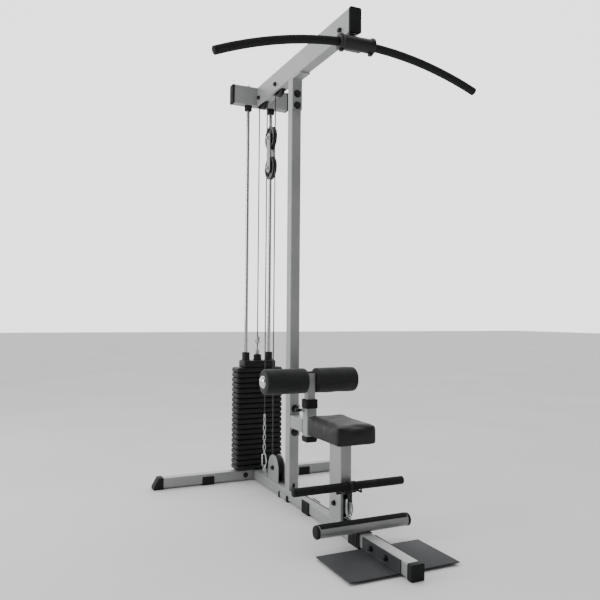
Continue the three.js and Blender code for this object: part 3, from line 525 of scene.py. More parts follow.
def weld(corners, radius):
    """A weld bead along a closed loop of corner points: a round section whose radius ripples along the run."""
    corners = np.array(corners, float)
    ahead = np.roll(corners, -1, axis=0)
    lengths = np.linalg.norm(ahead - corners, axis=1)
    runs = [straight(a, b, max(3, int(n / (1.5 * MM))))[:-1] for a, b, n in zip(corners, ahead, lengths)]
    path = np.concatenate(runs)
    normal = np.cross(corners[1] - corners[0], corners[2] - corners[1])
    normal /= np.linalg.norm(normal)
    tangent = np.roll(path, -1, axis=0) - np.roll(path, 1, axis=0)
    tangent /= np.linalg.norm(tangent, axis=1)[:, None]
    side = np.cross(tangent, normal)
    ripple = radius * (1 + 0.12 * np.sin(np.arange(len(path)) * 2 * math.pi / 3))
    flat = circle(1, 8)
    points = path[:, None] + ripple[:, None, None] * (flat[None, :, :1] * side[:, None] + flat[None, :, 1:] * normal)
    return grid(points, wrap_rows=True)


class PULLDOWN_OT_welds(Operator):
    """Weld beads where tubes and plates meet"""

    bl_idname = "pulldown.welds"
    bl_label = "Weld beads"

    def execute(self, context):
        half = HALF_TUBE
        top = low("seat_cushion")[2] - 5.2 * MM
        foot = high("base_tube")[2] + 0.6 * MM
        front = high("bar_cradle")[1] + 0.3 * MM
        back = front + 100 * MM
        upright = low("upright")[1], high("upright")[1]
        plate_y = high("holder_arm")[1] - 6.3 * MM
        holder_y = low("holder_arm")[1]

        def level(ya, yb, z):
            return [(-half, ya, z), (half, ya, z), (half, yb, z), (-half, yb, z)]

        def wall(y, za=0.351, zb=0.411):
            return [(-half, y, za), (half, y, za), (half, y, zb), (-half, y, zb)]

        beads = [
            weld(level(front, back, foot), 1.9 * MM),
            weld(level(front, back, top), 1.7 * MM),
            weld(level(*upright, foot), 1.9 * MM),
            weld(wall(plate_y), 1.8 * MM),
            weld(wall(holder_y), 1.8 * MM),
        ]
        piece("weld_beads", beads, "powder_coat", "frame")
        return {"FINISHED"}


class PULLDOWN_OT_plugs(Operator):
    """Moulded plugs in the open ends of the tubes, and the grip ribs of the saddle feet"""

    bl_idname = "pulldown.plugs"
    bl_label = "Tube plugs"

    def execute(self, context):
        tube_low, tube_high = low("top_cross_tube"), high("top_cross_tube")
        place = around("top_cross_tube", "x")
        size = (tube_high[1] - tube_low[1] + 1 * MM, tube_high[2] - tube_low[2] + 1 * MM)
        for name, end, out in (("left", tube_low[0], -1), ("right", tube_high[0], 1)):
            ends = sorted((end + out * 0.3 * MM, end + out * 11 * MM))
            surface = slab(size, 6 * MM, ends[0], ends[1], "x", place, 2.5 * MM)
            piece(f"top_tube_plug_{name}", [surface], "moulded_rubber", "frame")
        place = around("holder_collar", "z")
        bottom = low("holder_tube")[2]
        rises = [(9, -14), (5, -14), (2, -11.5), (0.4, -6), (0, 0), (0, 11), (0.6, 11.8), (2.6, 12.2)]
        levels = scaled(rises, bottom)
        piece("holder_cap", [layered((0.0555, 0.0555), 7 * MM, levels, "z", place)], "moulded_rubber", "frame")

        # The upright's foot: a folded steel cradle under the base tube, with a rubber pad at each end.
        a, b = low("saddle_foot_rear"), high("saddle_foot_rear")
        centre = around("saddle_foot_rear", "z")
        steel = slab((b[0] - a[0] - 1.5 * MM, b[1] - a[1] - 30 * MM), 1.5 * MM, 3 * MM, 27 * MM, "z", centre, 1.2 * MM)
        piece("rear_cradle", [steel], "powder_coat", "frame", ["saddle_foot_rear"])
        pads = []
        for y in (a[1] + 14 * MM, b[1] - 14 * MM):
            levels = scaled([(0, 0.3), (0, 14), (1.2, 24), (3.5, 28.5), (7, 30)])
            pads.append(layered((b[0] - a[0] + 3 * MM, 27 * MM), 8 * MM, levels, "z", (0, y, 0)))
        piece("rear_pads", pads, "moulded_rubber", "frame")
        ribs, deep = [], 1.4 * MM
        for node in ("saddle_foot_front", "saddle_foot_middle"):
            a, b = low(node), high(node)
            for side in (-1, 1):
                for share in (0.2, 0.5, 0.8):
                    y = a[1] + share * (b[1] - a[1])
                    face = side * b[0] - (0 if side > 0 else deep)
                    ribs.append(slab((3.5 * MM, 34 * MM), 1.6 * MM, 0, deep, "x", (face, y, 28 * MM), 0.6 * MM, 4))
        piece("saddle_ribs", ribs, "moulded_rubber", "frame")
        return {"FINISHED"}


class PULLDOWN_OT_fasteners(Operator):
    """Hexagonal bolt heads and washers on the frame's joints and the pulleys' axles"""

    bl_idname = "pulldown.fasteners"
    bl_label = "Bolts"

    def execute(self, context):
        width = sizes().bolt_width
        surfaces = []
        for node in ("pulley_front", "pulley_middle", "pulley_rear"):
            y, z = middle(node)[1:]
            for side in (-1, 1):
                surfaces += bolt(width * 0.85, "x", (side * (HALF_TUBE + 0.3 * MM), y, z), side)
        y, z = middle("pulley_seat_post")[1:]
        for side in (-1, 1):
            surfaces += bolt(width * 0.85, "x", (side * (HALF_TUBE + 0.3 * MM), y, z), side)
        y, z = middle("pulley_low")[1:]
        for side in (-1, 1):
            surfaces += bolt(width * 0.85, "x", (side * 20.3 * MM, y, z), side)
        piece("axle_bolts", surfaces, "black_coat", "frame")

        # Frame bolts: two through the bracket's upright leg, two through the holder's plate, two in the rear cross tube.
        surfaces = []
        face = low("upright")[1] - 6.3 * MM
        for z in (1.934, 1.879, 0.440, 0.329):
            surfaces += bolt(width * 1.2, "y", (0, face, z), -1)
        face, z = low("rear_cross_tube")[1] - 0.3 * MM, middle("rear_cross_tube")[2]
        for x in (-70 * MM, 70 * MM):
            surfaces += bolt(width * 0.9, "y", (x, face, z), -1)
        piece("frame_bolts", surfaces, "black_coat", "frame")

        # Foot-plate bolts go through the base tube, head on one side and nut on the other.
        surfaces = []
        edge = high("foot_plate_right")[1]
        for back in (63 * MM, 163 * MM):
            for side in (-1, 1):
                surfaces += bolt(width * 0.8, "x", (side * 29.6 * MM, edge - back, 0.033), side)
        for side in (-1, 1):
            surfaces += bolt(width * 0.62, "y", (side * 30 * MM, high("bar_cradle")[1] - 4 * MM, 0.183), -1)
        piece("plate_bolts", surfaces, "black_coat", "frame")

        top = high("top_cross_tube")[2]
        y = middle("top_cross_tube")[1]
        surfaces = []
        for x in (-ROD_OFFSET, ROD_OFFSET):
            dome = [(0, 0), (12, 0), (12, 1.8), (9, 2), (9, 5), (8.2, 8), (5.5, 10.6), (0, 11.6)]
            surfaces.append(turned(scaled(dome), "z", (x, y, top + 0.2 * MM), 24))
        piece("rod_screws", surfaces, "zinc_plate", "frame")
        return {"FINISHED"}


# ------------------------------------------------------------------ pulleys
def pulley(node):
    """A grooved wheel: a rim with a round-bottomed groove, a thin web with ribs, a hub, and a bearing."""
    centre = around(node, "x")
    sweep = 1.2
    turns = np.linspace(-sweep, sweep, 9)
    groove = [((56 - 3.8 * math.cos(t)) * MM, 3.9 * math.sin(t) / math.sin(sweep) * MM) for t in turns]
    face = [(15, -10), (19, -10), (20, -9), (20.5, -5), (45, -5), (46.5, -9), (48, -10), (59, -10), (60, -9), (60, -7.2)]
    profile = scaled(face) + groove + scaled(reversed(face), 0.0, -1) + scaled(face[:1])
    surfaces = [turned(profile, "x", centre, 72)]
    count = sizes().pulley_ribs
    for k in range(count):
        turn = 2 * math.pi * k / count
        for side in (-1, 1):
            points, quads = slab((27 * MM, 3.2 * MM), 1 * MM, 4.6 * MM, 8 * MM, "x", (0, 32.7 * MM, 0), 0.8 * MM, 3, 2)
            points = points * np.array([side, 1, 1])
            spin = np.array(Matrix.Rotation(turn, 3, "X"))
            surfaces.append((points @ spin.T + centre, quads))
    return surfaces


def bearing(node):
    """The shielded ball bearing in a pulley's hub: outer ring, dished shield and inner ring."""
    centre = around(node, "x")
    side = [(6.35, 9.6), (8.6, 9.6), (8.8, 9.1), (12.4, 8.9), (12.7, 9.6), (14.95, 9.6)]
    profile = scaled(side, 0.0, -1) + scaled(reversed(side))
    return turned(profile + profile[:1], "x", centre, 40)


class PULLDOWN_OT_pulleys(Operator):
    """The seven pulleys, each with its bearing"""

    bl_idname = "pulldown.pulleys"
    bl_label = "Pulleys"

    def execute(self, context):
        bodies = {
            "pulley_front": "front_wheel",
            "pulley_middle": "middle_wheel",
            "pulley_rear": "rear_wheel",
            "pulley_float_upper": "float_upper_wheel",
            "pulley_float_lower": "float_lower_wheel",
            "pulley_low": "low_wheel",
            "pulley_seat_post": "post_wheel",
        }
        for node, body in bodies.items():
            piece(node + "_wheel", pulley(node), "filled_nylon", body, [node])
            piece(node + "_bearing", [bearing(node)], "zinc_plate", body)
        return {"FINISHED"}


class PULLDOWN_OT_floating_block(Operator):
    """Two straps with round ends, and the bolts that hold them and the floating wheels together"""

    bl_idname = "pulldown.floating_block"
    bl_label = "Floating block"

    def execute(self, context):
        place = around("float_strap_left", "x")
        a, b = low("float_strap_right"), high("float_strap_right")
        size = (b[1] - a[1], b[2] - a[2])
        for side, name in ((-1, "left"), (1, "right")):
            ends = sorted((side * 12 * MM, side * 16 * MM))
            surface = slab(size, 21.8 * MM, ends[0], ends[1], "x", place, 0.8 * MM, 12)
            piece(f"float_side_{name}", [surface], "powder_coat", "float_block", [f"float_strap_{name}"])
        surfaces = []
        for node in ("pulley_float_upper", "pulley_float_lower"):
            y, z = middle(node)[1:]
            for side in (-1, 1):
                surfaces += bolt(15 * MM, "x", (side * 16.1 * MM, y, z), side)
                spacer = (side * 11.2 * MM - 0.8 * MM, y, z)
                surfaces.append(turned(scaled([(0, 0), (8, 0), (8, 1.6), (0, 1.6)]), "x", spacer, 24))
        piece("float_bolts", surfaces, "zinc_plate", "float_block")
        return {"FINISHED"}


# ------------------------------------------------------------------ weight stack
def plate(top, centre, size, edge):
    """A weight plate: its outline swells out over a round edge, so that a stack of them looks scalloped."""
    thick = 26.4 * MM
    t = np.linspace(-1, 1, 9)
    inset = edge * (1 - np.sqrt(np.clip(1 - np.abs(t) ** 2.6, 0, 1)))
    along = top - thick / 2 + t * thick / 2
    levels = [(float(i), float(a)) for i, a in zip(inset, along)]
    return layered(size, 16 * MM, levels, "z", centre, 7)


def rim_of_hole(centre, radius, facing):
    """The bushed hole in a plate's front: a raised lip and a dark dished floor."""
    lip = [(0, -2.5), (0.86, -2.5), (0.9, 0.9), (1.12, 1.1), (1.3, 0.2), (1.3, -3), (0, -3)]
    return turned([(share * radius, facing * along * MM) for share, along in lip], "y", centre, 20)


class PULLDOWN_OT_weight_stack(Operator):
    """Twenty rounded plates with selector holes: four hang from the head and sixteen rest"""

    bl_idname = "pulldown.weight_stack"
    bl_label = "Weight stack"

    def execute(self, context):
        pitch = 27 * MM
        edge = sizes().plate_edge
        for node, name, body in (
            ("lifted_plates", "hanging", "lifted_stack"),
            ("resting_plates", "resting", "frame"),
        ):
            a, b = low(node), high(node)
            count = int(round((b[2] - a[2]) / pitch))
            centre = around(node, "z")
            size = (b[0] - a[0], b[1] - a[1])
            plates, holes = [], []
            for k in range(count):
                top = b[2] - k * pitch
                plates.append(plate(top, centre, size, edge))
                if not (name == "hanging" and k == count - 1):
                    holes.append(rim_of_hole((0, a[1] + 0.4 * MM, top - 13.2 * MM), 5.5 * MM, -1))
            piece(f"{name}_plates", plates, "painted_iron", body, [node])
            piece(f"{name}_holes", holes, "filled_nylon", body)
        return {"FINISHED"}


class PULLDOWN_OT_stack_head(Operator):
    """The head plate with its rod bushings, boss, lock nut, threaded stud and cable clamp"""

    bl_idname = "pulldown.stack_head"
    bl_label = "Stack head"

    def execute(self, context):
        a, b = low("stack_head"), high("stack_head")
        centre = around("stack_head", "z")
        floor = a[2]
        top = floor + 36 * MM
        parts = [slab((b[0] - a[0], b[1] - a[1]), 12 * MM, floor, top, "z", centre, 5 * MM, 8, 5)]
        for side in (-1, 1):
            place = (side * ROD_OFFSET, centre[1], 0)
            bush = [(10.6, -1), (24, -1), (24, 2), (22, 4), (20.5, 8), (20.5, 40)]
            bush += [(18.5, 43.5), (11.6, 44), (10.6, 43), (10.6, -1)]
            parts.append(turned(scaled(bush, top), "z", place, 48))
        boss = [(0, -1), (24, -1), (24, 2), (22, 5), (21, 9), (21, 28), (19, 31.5), (0, 32)]
        parts.append(turned(scaled(boss, top), "z", centre, 48))
        piece("head_casting", parts, "painted_iron", "lifted_stack", ["stack_head"])
        metal = [hexagon(18 * MM, 13 * MM, "z", centre + (top + rise * MM) * Z) for rise in (32, 46)]
        ridge = np.arange(0, 33, 0.75)
        thread = [(0, 59)] + [((5.0 if k % 2 else 4.3), 59 + r) for k, r in enumerate(ridge)] + [(0, 92)]
        metal.append(turned(scaled(thread, top), "z", centre, 24))
        clamp = [(0, 90), (8, 90), (9, 92), (13, 94), (14, 96), (14, 108), (12.6, 109), (12.6, 113)]
        clamp += [(14, 114), (14, 124), (12, 128), (6, 130), (0, 130)]
        metal.append(turned(scaled(clamp, top), "z", centre, 40))
        piece("head_stud", metal, "zinc_plate", "lifted_stack")

        # The selector pin: a shouldered steel shank with a ribbed grip.
        a, b = low("selector_pin"), high("selector_pin")
        place = around("selector_pin", "y")
        back, front = b[1], a[1]
        shank = [(0, back), (3.5 * MM, back), (5 * MM, back - 3 * MM), (5 * MM, front + 24 * MM), (0, front + 24 * MM)]
        piece("pin_shank", [turned(shank, "y", place, 28)], "bright_chrome", "selector_pin", ["selector_pin"])
        grip = [(0, 26), (8, 26), (9, 25), (9, 22), (11, 20), (11, 15), (9.8, 13.5), (11, 12), (11, 8)]
        grip += [(9.8, 6.5), (10.6, 5), (9.6, 1.5), (6, 0), (0, 0)]
        piece("pin_grip", [turned(scaled(grip, front), "y", place, 36)], "filled_nylon", "selector_pin")
        return {"FINISHED"}


class PULLDOWN_OT_guide_rods(Operator):
    """The two ground guide rods with their collars above and their bumpers below"""

    bl_idname = "pulldown.guide_rods"
    bl_label = "Guide rods"

    def execute(self, context):
        for name in ("left", "right"):
            node = f"guide_rod_{name}"
            a, b = low(node)[2], high(node)[2]
            place = around(node, "z")
            rod = [(0, a), (9.0 * MM, a), (9.5 * MM, a + 0.6 * MM), (9.5 * MM, b - 0.6 * MM), (9.0 * MM, b), (0, b)]
            piece(f"rod_{name}", [turned(rod, "z", place, 40)], "ground_steel", "frame", [node])
            collar = [(9.6, -27), (18, -27), (19.5, -25.5), (20, -23), (20, -8), (18.8, -7), (18.8, -5)]
            collar += [(20, -4), (20, -1), (19, 0), (9.6, 0), (9.6, -27)]
            piece(f"rod_collar_{name}", [turned(scaled(collar, b), "z", place, 40)], "moulded_rubber", "frame")
            bumper = f"stack_bumper_{name}"
            foot, head = low(bumper)[2], high(bumper)[2]
            t = np.linspace(0, 1, 11)
            radius = 23.5 * MM + 3.3 * MM * np.sin(math.pi * t) ** 0.6
            side = [(float(r), float(foot + k * (head - foot))) for r, k in zip(radius, t)]
            ring = [(9.7 * MM, foot)] + side + [(9.7 * MM, head), (9.7 * MM, foot)]
            piece(f"bumper_{name}", [turned(ring, "z", place, 40)], "moulded_rubber", "frame", [bumper])
        return {"FINISHED"}


# ------------------------------------------------------------------ seat
class PULLDOWN_OT_seat(Operator):
    """The seat: a cloth cover inflated over its foam block, with a sewn seam under its top edge"""

    bl_idname = "pulldown.seat"
    bl_label = "Seat"

    def execute(self, context):
        a, b = low("seat_cushion"), high("seat_cushion")
        centre = around("seat_cushion", "z")
        size = (b[0] - a[0] - 9 * MM, b[1] - a[1] - 9 * MM)
        rise = b[2] - a[2]
        obj = piece(
            "seat_pad",
            [slab(size, 16 * MM, a[2] + 0.5 * MM, b[2] - 3 * MM, "z", centre, 7 * MM, 8, 5)],
            "upholstery_vinyl", None, ["seat_cushion"], sharp=180,
        )
        remesh = obj.modifiers.new("Remesh", "REMESH")
        remesh.mode = "VOXEL"
        remesh.voxel_size = 5 * MM
        bake(obj)
        rest = positions(obj)
        cloth = obj.modifiers.new("Cloth", "CLOTH")
        cloth.settings.use_pressure = True
        cloth.settings.uniform_pressure_force = 2.5
        cloth.settings.effector_weights.gravity = 0
        cloth.settings.quality = 6
        for number in range(1, 21):
            context.scene.frame_set(number)
        bake(obj)
        settled = positions(obj)
        context.scene.frame_set(1)
        # No point moves further than the swell, the upright sides bulge a third as far as the top,
        # and the underside stays flat on its board.
        move = (settled - rest) * (0.35, 0.35, 1)
        far = np.linalg.norm(move, axis=1)
        cap = sizes().cushion_swell
        move *= (np.minimum(far, cap) / np.maximum(far, 1e-9))[:, None]
        up = np.clip((rest[:, 2] - a[2]) / (0.35 * rise), 0, 1)
        move *= (0.15 + 0.85 * up)[:, None]
        placed = rest + move
        # The seam: a groove 3 mm deep and 3 mm to each side, 11 mm below the top, drawn towards the middle.
        seam = 3 * MM * np.exp(-(((placed[:, 2] - b[2] + 11 * MM) / (3 * MM)) ** 2))
        flat = placed[:, :2] - centre[:2]
        placed[:, :2] -= flat / np.linalg.norm(flat, axis=1)[:, None] * seam[:, None]
        placed[:, :2] = np.clip(placed[:, :2], a[:2] + 0.5 * MM, b[:2] - 0.5 * MM)
        placed[:, 2] = np.clip(placed[:, 2], a[2] + 0.3 * MM, b[2] + 3 * MM)
        # The block is cut 6 mm thicker at the back, so the top slopes down to the front.
        back = (placed[:, 1] - a[1]) / (b[1] - a[1])
        placed[:, 2] += 6 * MM * back * up
        obj.data.vertices.foreach_set("co", placed.ravel())
        obj.data.update()
        smooth = obj.modifiers.new("Smooth", "SMOOTH")
        smooth.factor = 0.5
        smooth.iterations = 6
        split = obj.modifiers.new("Subdivision", "SUBSURF")
        split.levels = split.render_levels = 1
        bake(obj)
        obj.data.shade_smooth()
        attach(obj, "frame")

        # The board under the pad.
        size = (size[0] - 22 * MM, size[1] - 22 * MM)
        board = slab(size, 14 * MM, a[2] - 0.2 * MM, a[2] + 0.3 * MM, "z", centre, 0.2 * MM, 6, 1)
        piece("seat_board", [board], "moulded_rubber", "frame")
        return {"FINISHED"}


def positions(obj):
    """A mesh's points as an array."""
    flat = np.empty(len(obj.data.vertices) * 3)
    obj.data.vertices.foreach_get("co", flat)
    return flat.reshape(-1, 3)


def bake(obj):
    """Applies a piece's modifiers to its mesh."""
    graph = bpy.context.evaluated_depsgraph_get()
    made = bpy.data.meshes.new_from_object(obj.evaluated_get(graph))
    old = obj.data
    obj.modifiers.clear()
    obj.data = made
    made.name = obj.name
    bpy.data.meshes.remove(old)


# ------------------------------------------------------------------ leg hold-down
def foam_sleeve(node, outward):
    """A foam roller: radius R - dips, where the dips are two long shallow waves round it, and the ends roll over on a
    9 mm curve and dish in towards the axle."""
    a, b = low(node)[0], high(node)[0]
    centre = around(node, "x")
    outer = (high(node)[2] - low(node)[2]) / 2
    edge = 9 * MM
    t = np.linspace(0, math.pi / 2, 8)
    start = [(outer - edge + edge * math.sin(k), a + edge * (1 - math.cos(k))) for k in t]
    body = [(outer, float(x)) for x in np.linspace(a + edge, b - edge, 26)[1:-1]]
    end = [(outer - edge + edge * math.cos(k), b - edge * (1 - math.sin(k))) for k in t]
    dish = 3 * MM
    ends = [(10.6 * MM, a + dish), (16 * MM, a + 0.8 * dish), (30 * MM, a + 0.15 * dish)]
    others = [(30 * MM, b - 0.15 * dish), (16 * MM, b - 0.8 * dish), (10.6 * MM, b - dish)]
    profile = ends + start + body + end + others + ends[:1]
    points, quads = turned(profile, "x", centre, 72)
    offset = points - centre
    x = (points[:, 0] - a) / (b - a)
    radius = np.hypot(offset[:, 1], offset[:, 2])
    turn = np.arctan2(offset[:, 2], offset[:, 1])
    outside = np.clip((radius - 30 * MM) / (outer - 30 * MM), 0, 1)
    dip = 0.5 * MM * (1 + np.sin(3 * turn + 9 * x + outward)) * outside
    dip = dip + 0.5 * MM * (1 + np.sin(2 * turn - 14 * x)) * outside
    shrink = (radius - dip) / radius
    points[:, 1:] = centre[1:] + offset[:, 1:] * shrink[:, None]
    return points, quads


class PULLDOWN_OT_rollers(Operator):
    """The foam rollers, the plated axle with its domed caps, and the plug in their post"""

    bl_idname = "pulldown.rollers"
    bl_label = "Foam rollers"

    def execute(self, context):
        for k, name in enumerate(("left", "right")):
            node = f"foam_roller_{name}"
            obj = piece(f"roller_{name}_foam", [foam_sleeve(node, k)], "nitrile_foam", f"roller_{name}", [node], sharp=60)
        a, b = low("roller_axle")[0], high("roller_axle")[0]
        place = around("roller_axle", "x")
        dome = [(28.0, 15.8), (28.4, 14.8), (28.0, 13.6), (25.5, 9.2), (21, 5.6), (15, 2.8), (8, 0.8), (0, 0)]
        half = [*reversed(dome), (10, 16)]
        profile = scaled(half, a) + scaled(reversed(half), b, -1)
        piece("axle_and_domes", [turned(profile, "x", place, 64)], "bright_chrome", "roller_carriage", ["roller_axle"])
        lid = high("roller_post")
        surface = slab((0.0415, 0.0415), 5.5 * MM, lid[2] + 0.1 * MM, lid[2] + 5 * MM, "z", around("roller_post", "z"), 1.8 * MM)
        piece("roller_post_plug", [surface], "moulded_rubber", "roller_carriage")
        return {"FINISHED"}


class PULLDOWN_OT_holder(Operator):
    """The guide collar the post slides in, and the sprung pull pin with its grip"""

    bl_idname = "pulldown.holder"
    bl_label = "Post holder"

    def execute(self, context):
        a, b = low("holder_collar"), high("holder_collar")
        place = around("holder_collar", "z")
        outer, inner = b[0] - a[0], 0.0413
        levels = [(outer - 4 * MM, 7, a[2]), (outer - 1 * MM, 8, a[2] + 1 * MM), (outer, 8, a[2] + 4 * MM)]
        levels += [(outer, 8, b[2] - 4 * MM), (outer - 1.2 * MM, 8, b[2] - 1.2 * MM), (outer - 5 * MM, 7, b[2])]
        levels += [(inner + 3 * MM, 6, b[2]), (inner, 5.5, b[2] - 1.5 * MM), (inner, 5.5, a[2])]
        rings = []
        for width, corner, z in levels:
            flat = rounded(width, width, corner * MM, 7)
            rings.append(np.column_stack([place[0] + flat[:, 0], place[1] + flat[:, 1], np.full(len(flat), z)]))
        piece("collar_guide", [grid(np.stack(rings), wrap_rows=True)], "moulded_rubber", "frame", ["holder_collar"])
        tip, end = high("pull_pin")[0], low("pull_pin")[0]
        place = around("pull_pin", "x")
        shaft = [(0, tip), (4 * MM, tip), (5 * MM, tip - 1.5 * MM), (5 * MM, end + 20 * MM), (0, end + 20 * MM)]
        piece("pull_pin_shaft", [turned(shaft, "x", place, 28)], "bright_chrome", "pull_pin", ["pull_pin"])
        grip = [(0, 0), (5, 0.2), (7.6, 1.6), (8.6, 4), (8.6, 7), (7.4, 10), (7.0, 16), (7.4, 23), (6.6, 25.6), (0, 25.8)]
        piece("pull_pin_grip", [turned(scaled(grip, end), "x", place, 36)], "filled_nylon", "pull_pin")
        nut = hexagon(16 * MM, 5 * MM, "x", place - 25.3 * MM * X, -1)
        piece("pull_pin_nut", [nut], "zinc_plate", "frame")
        return {"FINISHED"}


# ------------------------------------------------------------------ feet of the sitter
class PULLDOWN_OT_foot_rests(Operator):
    """The foot brace with its caps and ribbed strip, and the two angled foot plates"""

    bl_idname = "pulldown.foot_rests"
    bl_label = "Foot rests"

    def execute(self, context):
        a, b = low("foot_brace")[0], high("foot_brace")[0]
        place = around("foot_brace", "x")
        r = (high("foot_brace")[2] - low("foot_brace")[2]) / 2
        tube = [(0, a), (r - 1 * MM, a), (r, a + 1 * MM), (r, b - 1 * MM), (r - 1 * MM, b), (0, b)]
        piece("brace_tube", [turned(tube, "x", place, 64)], "powder_coat", "frame", ["foot_brace"])
        cap = [(0, 0.3), (25, 0.3), (25.4, 2), (25.4, 6), (24.6, 9.2), (22.4, 11.6), (18.5, 13), (10, 13.8), (0, 14)]
        for name, end, out in (("left", a, -1), ("right", b, 1)):
            surface = turned(scaled(cap, end, out), "x", place, 48)
            piece(f"brace_end_{name}", [surface], "moulded_rubber", "frame", [f"brace_cap_{name}"])
        # The strip: an arc of the tube's wall, r + 2 mm with low ribs, from the front round over the top.
        turn = np.radians(np.linspace(-50, 62, 70))
        wall = r + 2.0 * MM + 0.4 * MM * np.cos(turn * 60)
        outer = np.column_stack([np.cos(turn) * wall, np.sin(turn) * wall])
        inner = np.column_stack([np.cos(turn) * (r + 0.1 * MM), np.sin(turn) * (r + 0.1 * MM)])[::-1]
        section = np.concatenate([outer, inner])
        outline = section[:, :1] * Z + section[:, 1:] * Y
        ends = [np.array([x, place[1], place[2]]) + outline for x in (a + 4 * MM, b - 4 * MM)]
        hubs = [np.tile(end.mean(axis=0), (len(section), 1)) for end in ends]
        rows = np.stack([hubs[0], *ends, hubs[1]])
        piece("brace_strip", [grid(rows)], "moulded_rubber", "frame")
        for name, side in (("left", -1), ("right", 1)):
            node = f"foot_plate_{name}"
            a, b = low(node), high(node)
            thick, bend = 4 * MM, 5 * MM
            near, far = sorted((abs(a[0]), abs(b[0])))
            # The sheet's middle line: down the flange, round the bend, and out along the tread.
            x, z = near + thick / 2, a[2] + thick / 2
            turn = np.radians(np.linspace(180, 270, 9))
            fold = [(x + bend + bend * math.cos(t), z + bend + bend * math.sin(t)) for t in turn]
            line = [(x, b[2] - k * MM) for k in (0, 2, 8)] + fold + [(far - 0.1, z), (far - 6 * MM, z), (far, z)]
            path = [(side * u, (a[1] + b[1]) / 2, v) for u, v in line]
            section = rounded(thick, b[1] - a[1], 1.3 * MM, 4)
            piece(f"tread_{name}", [carried(section, path, Y)], "slate_coat", "frame", [node], sharp=50)
        return {"FINISHED"}


# ------------------------------------------------------------------ bars
def bar_path(half, droop, tilt, centre, count):
    """The pulldown bar's centreline: (s half, 0, -droop s^2) for s in -1..1, turned by its tilt about Y."""
    s = np.linspace(-1, 1, count)
    x, z = s * half, -droop * s * s
    c, n = math.cos(tilt), math.sin(tilt)
    return np.array(centre) + np.stack([x * c - z * n, np.zeros(count), x * n + z * c], axis=1)


def round_bar(path, radius, across, sides=24, nose=1.0):
    """A round bar along a path whose ends close on an ellipse: its radius is r sqrt(1 - (1 - d / n)^2)
    within a nose length n of either end."""
    step = np.linalg.norm(np.diff(path, axis=0), axis=1)
    run = np.concatenate([[0], np.cumsum(step)])
    reach = np.minimum(run, run[-1] - run)
    share = np.clip(reach / (nose * radius), 0, 1)
    scale = radius * np.sqrt(np.clip(1 - (1 - share) ** 2, 0, 1))
    tangent = np.gradient(path, axis=0)
    tangent /= np.linalg.norm(tangent, axis=1)[:, None]
    side = np.cross(tangent, across)
    flat = circle(1, sides)
    ring = flat[None, :, :1] * side[:, None] + flat[None, :, 1:] * np.array(across)
    return grid(path[:, None] + scale[:, None, None] * ring)


def dense_ends(count, ends=12, nose=0.006):
    """Shares 0..1 with extra points near both ends, for a bar's rounded noses."""
    a = nose * (1 - np.cos(np.linspace(0, math.pi / 2, ends)))
    return np.concatenate([a, np.linspace(nose, 1 - nose, count)[1:-1], 1 - a[::-1]])


class PULLDOWN_OT_pulldown_bar(Operator):
    """The curved pulldown bar, and the rolled rims of its sleeve"""

    bl_idname = "pulldown.pulldown_bar"
    bl_label = "Pulldown bar"

    def execute(self, context):
        tilt = math.radians(1.6)
        centre = np.array([0, low("lat_hanger")[1] + 28 * MM, 1.961])
        share = dense_ends(90)
        full = bar_path(BAR_HALF, BAR_DROOP, tilt, centre, 2001)
        path = full[np.round(share * 2000).astype(int)]
        keep = np.concatenate([[True], np.linalg.norm(np.diff(path, axis=0), axis=1) > 1e-6])
        bar = round_bar(path[keep], 16.5 * MM, Y, 28, 0.25)
        piece("curved_bar", [bar], "moulded_rubber", "lat_handle", ["lat_bar"], sharp=60)
        rims = []
        along = np.array([math.cos(tilt), 0, math.sin(tilt)])
        for side in (-1, 1):
            spot = centre + side * 70 * MM * along
            rim = [(27.3, -12), (28, -9), (31, -4), (33, 0), (33.6, 4), (32.6, 7)]
            rim += [(29, 9), (17, 9.6), (17, 3), (27.3, 2), (27.3, -12)]
            points, quads = turned(scaled(rim[::side], 0.0, side), "x", (0, 0, 0), 48)
            spin = np.array(Matrix.Rotation(-tilt, 3, "Y"))
            rims.append((points @ spin.T + spot, quads))
        piece("sleeve_rims", rims, "black_coat", "lat_handle")
        return {"FINISHED"}


class PULLDOWN_OT_row_bar(Operator):
    """The straight row bar, its eye, and the snap hook it hangs from"""

    bl_idname = "pulldown.row_bar"
    bl_label = "Row bar"

    def execute(self, context):
        a, b = low("low_bar")[0], high("low_bar")[0]
        place = around("low_bar", "x")
        half = [(0, 0), (9, 0), (14, 1.6), (16.2, 4.5), (16.5, 8), (16.5, 130), (16.1, 131), (16.1, 132), (16.5, 133)]
        collar = [(16.5, -25), (18.2, -24), (19, -22), (19, -10), (18.4, -9), (15.5, -9)]
        left = scaled(half, a) + scaled(collar)
        profile = left + [(r, -t) for r, t in reversed(left)]
        piece("row_grip", [turned(profile, "x", place, 48)], "moulded_rubber", "low_bar", ["low_bar"])
        refinish("black_coat", "low_bar_eye")
        piece("row_snap_hook", snap_hook("low_snap_hook", 3.6 * MM), "bright_chrome", "low_hook", ["low_snap_hook"])
        return {"FINISHED"}


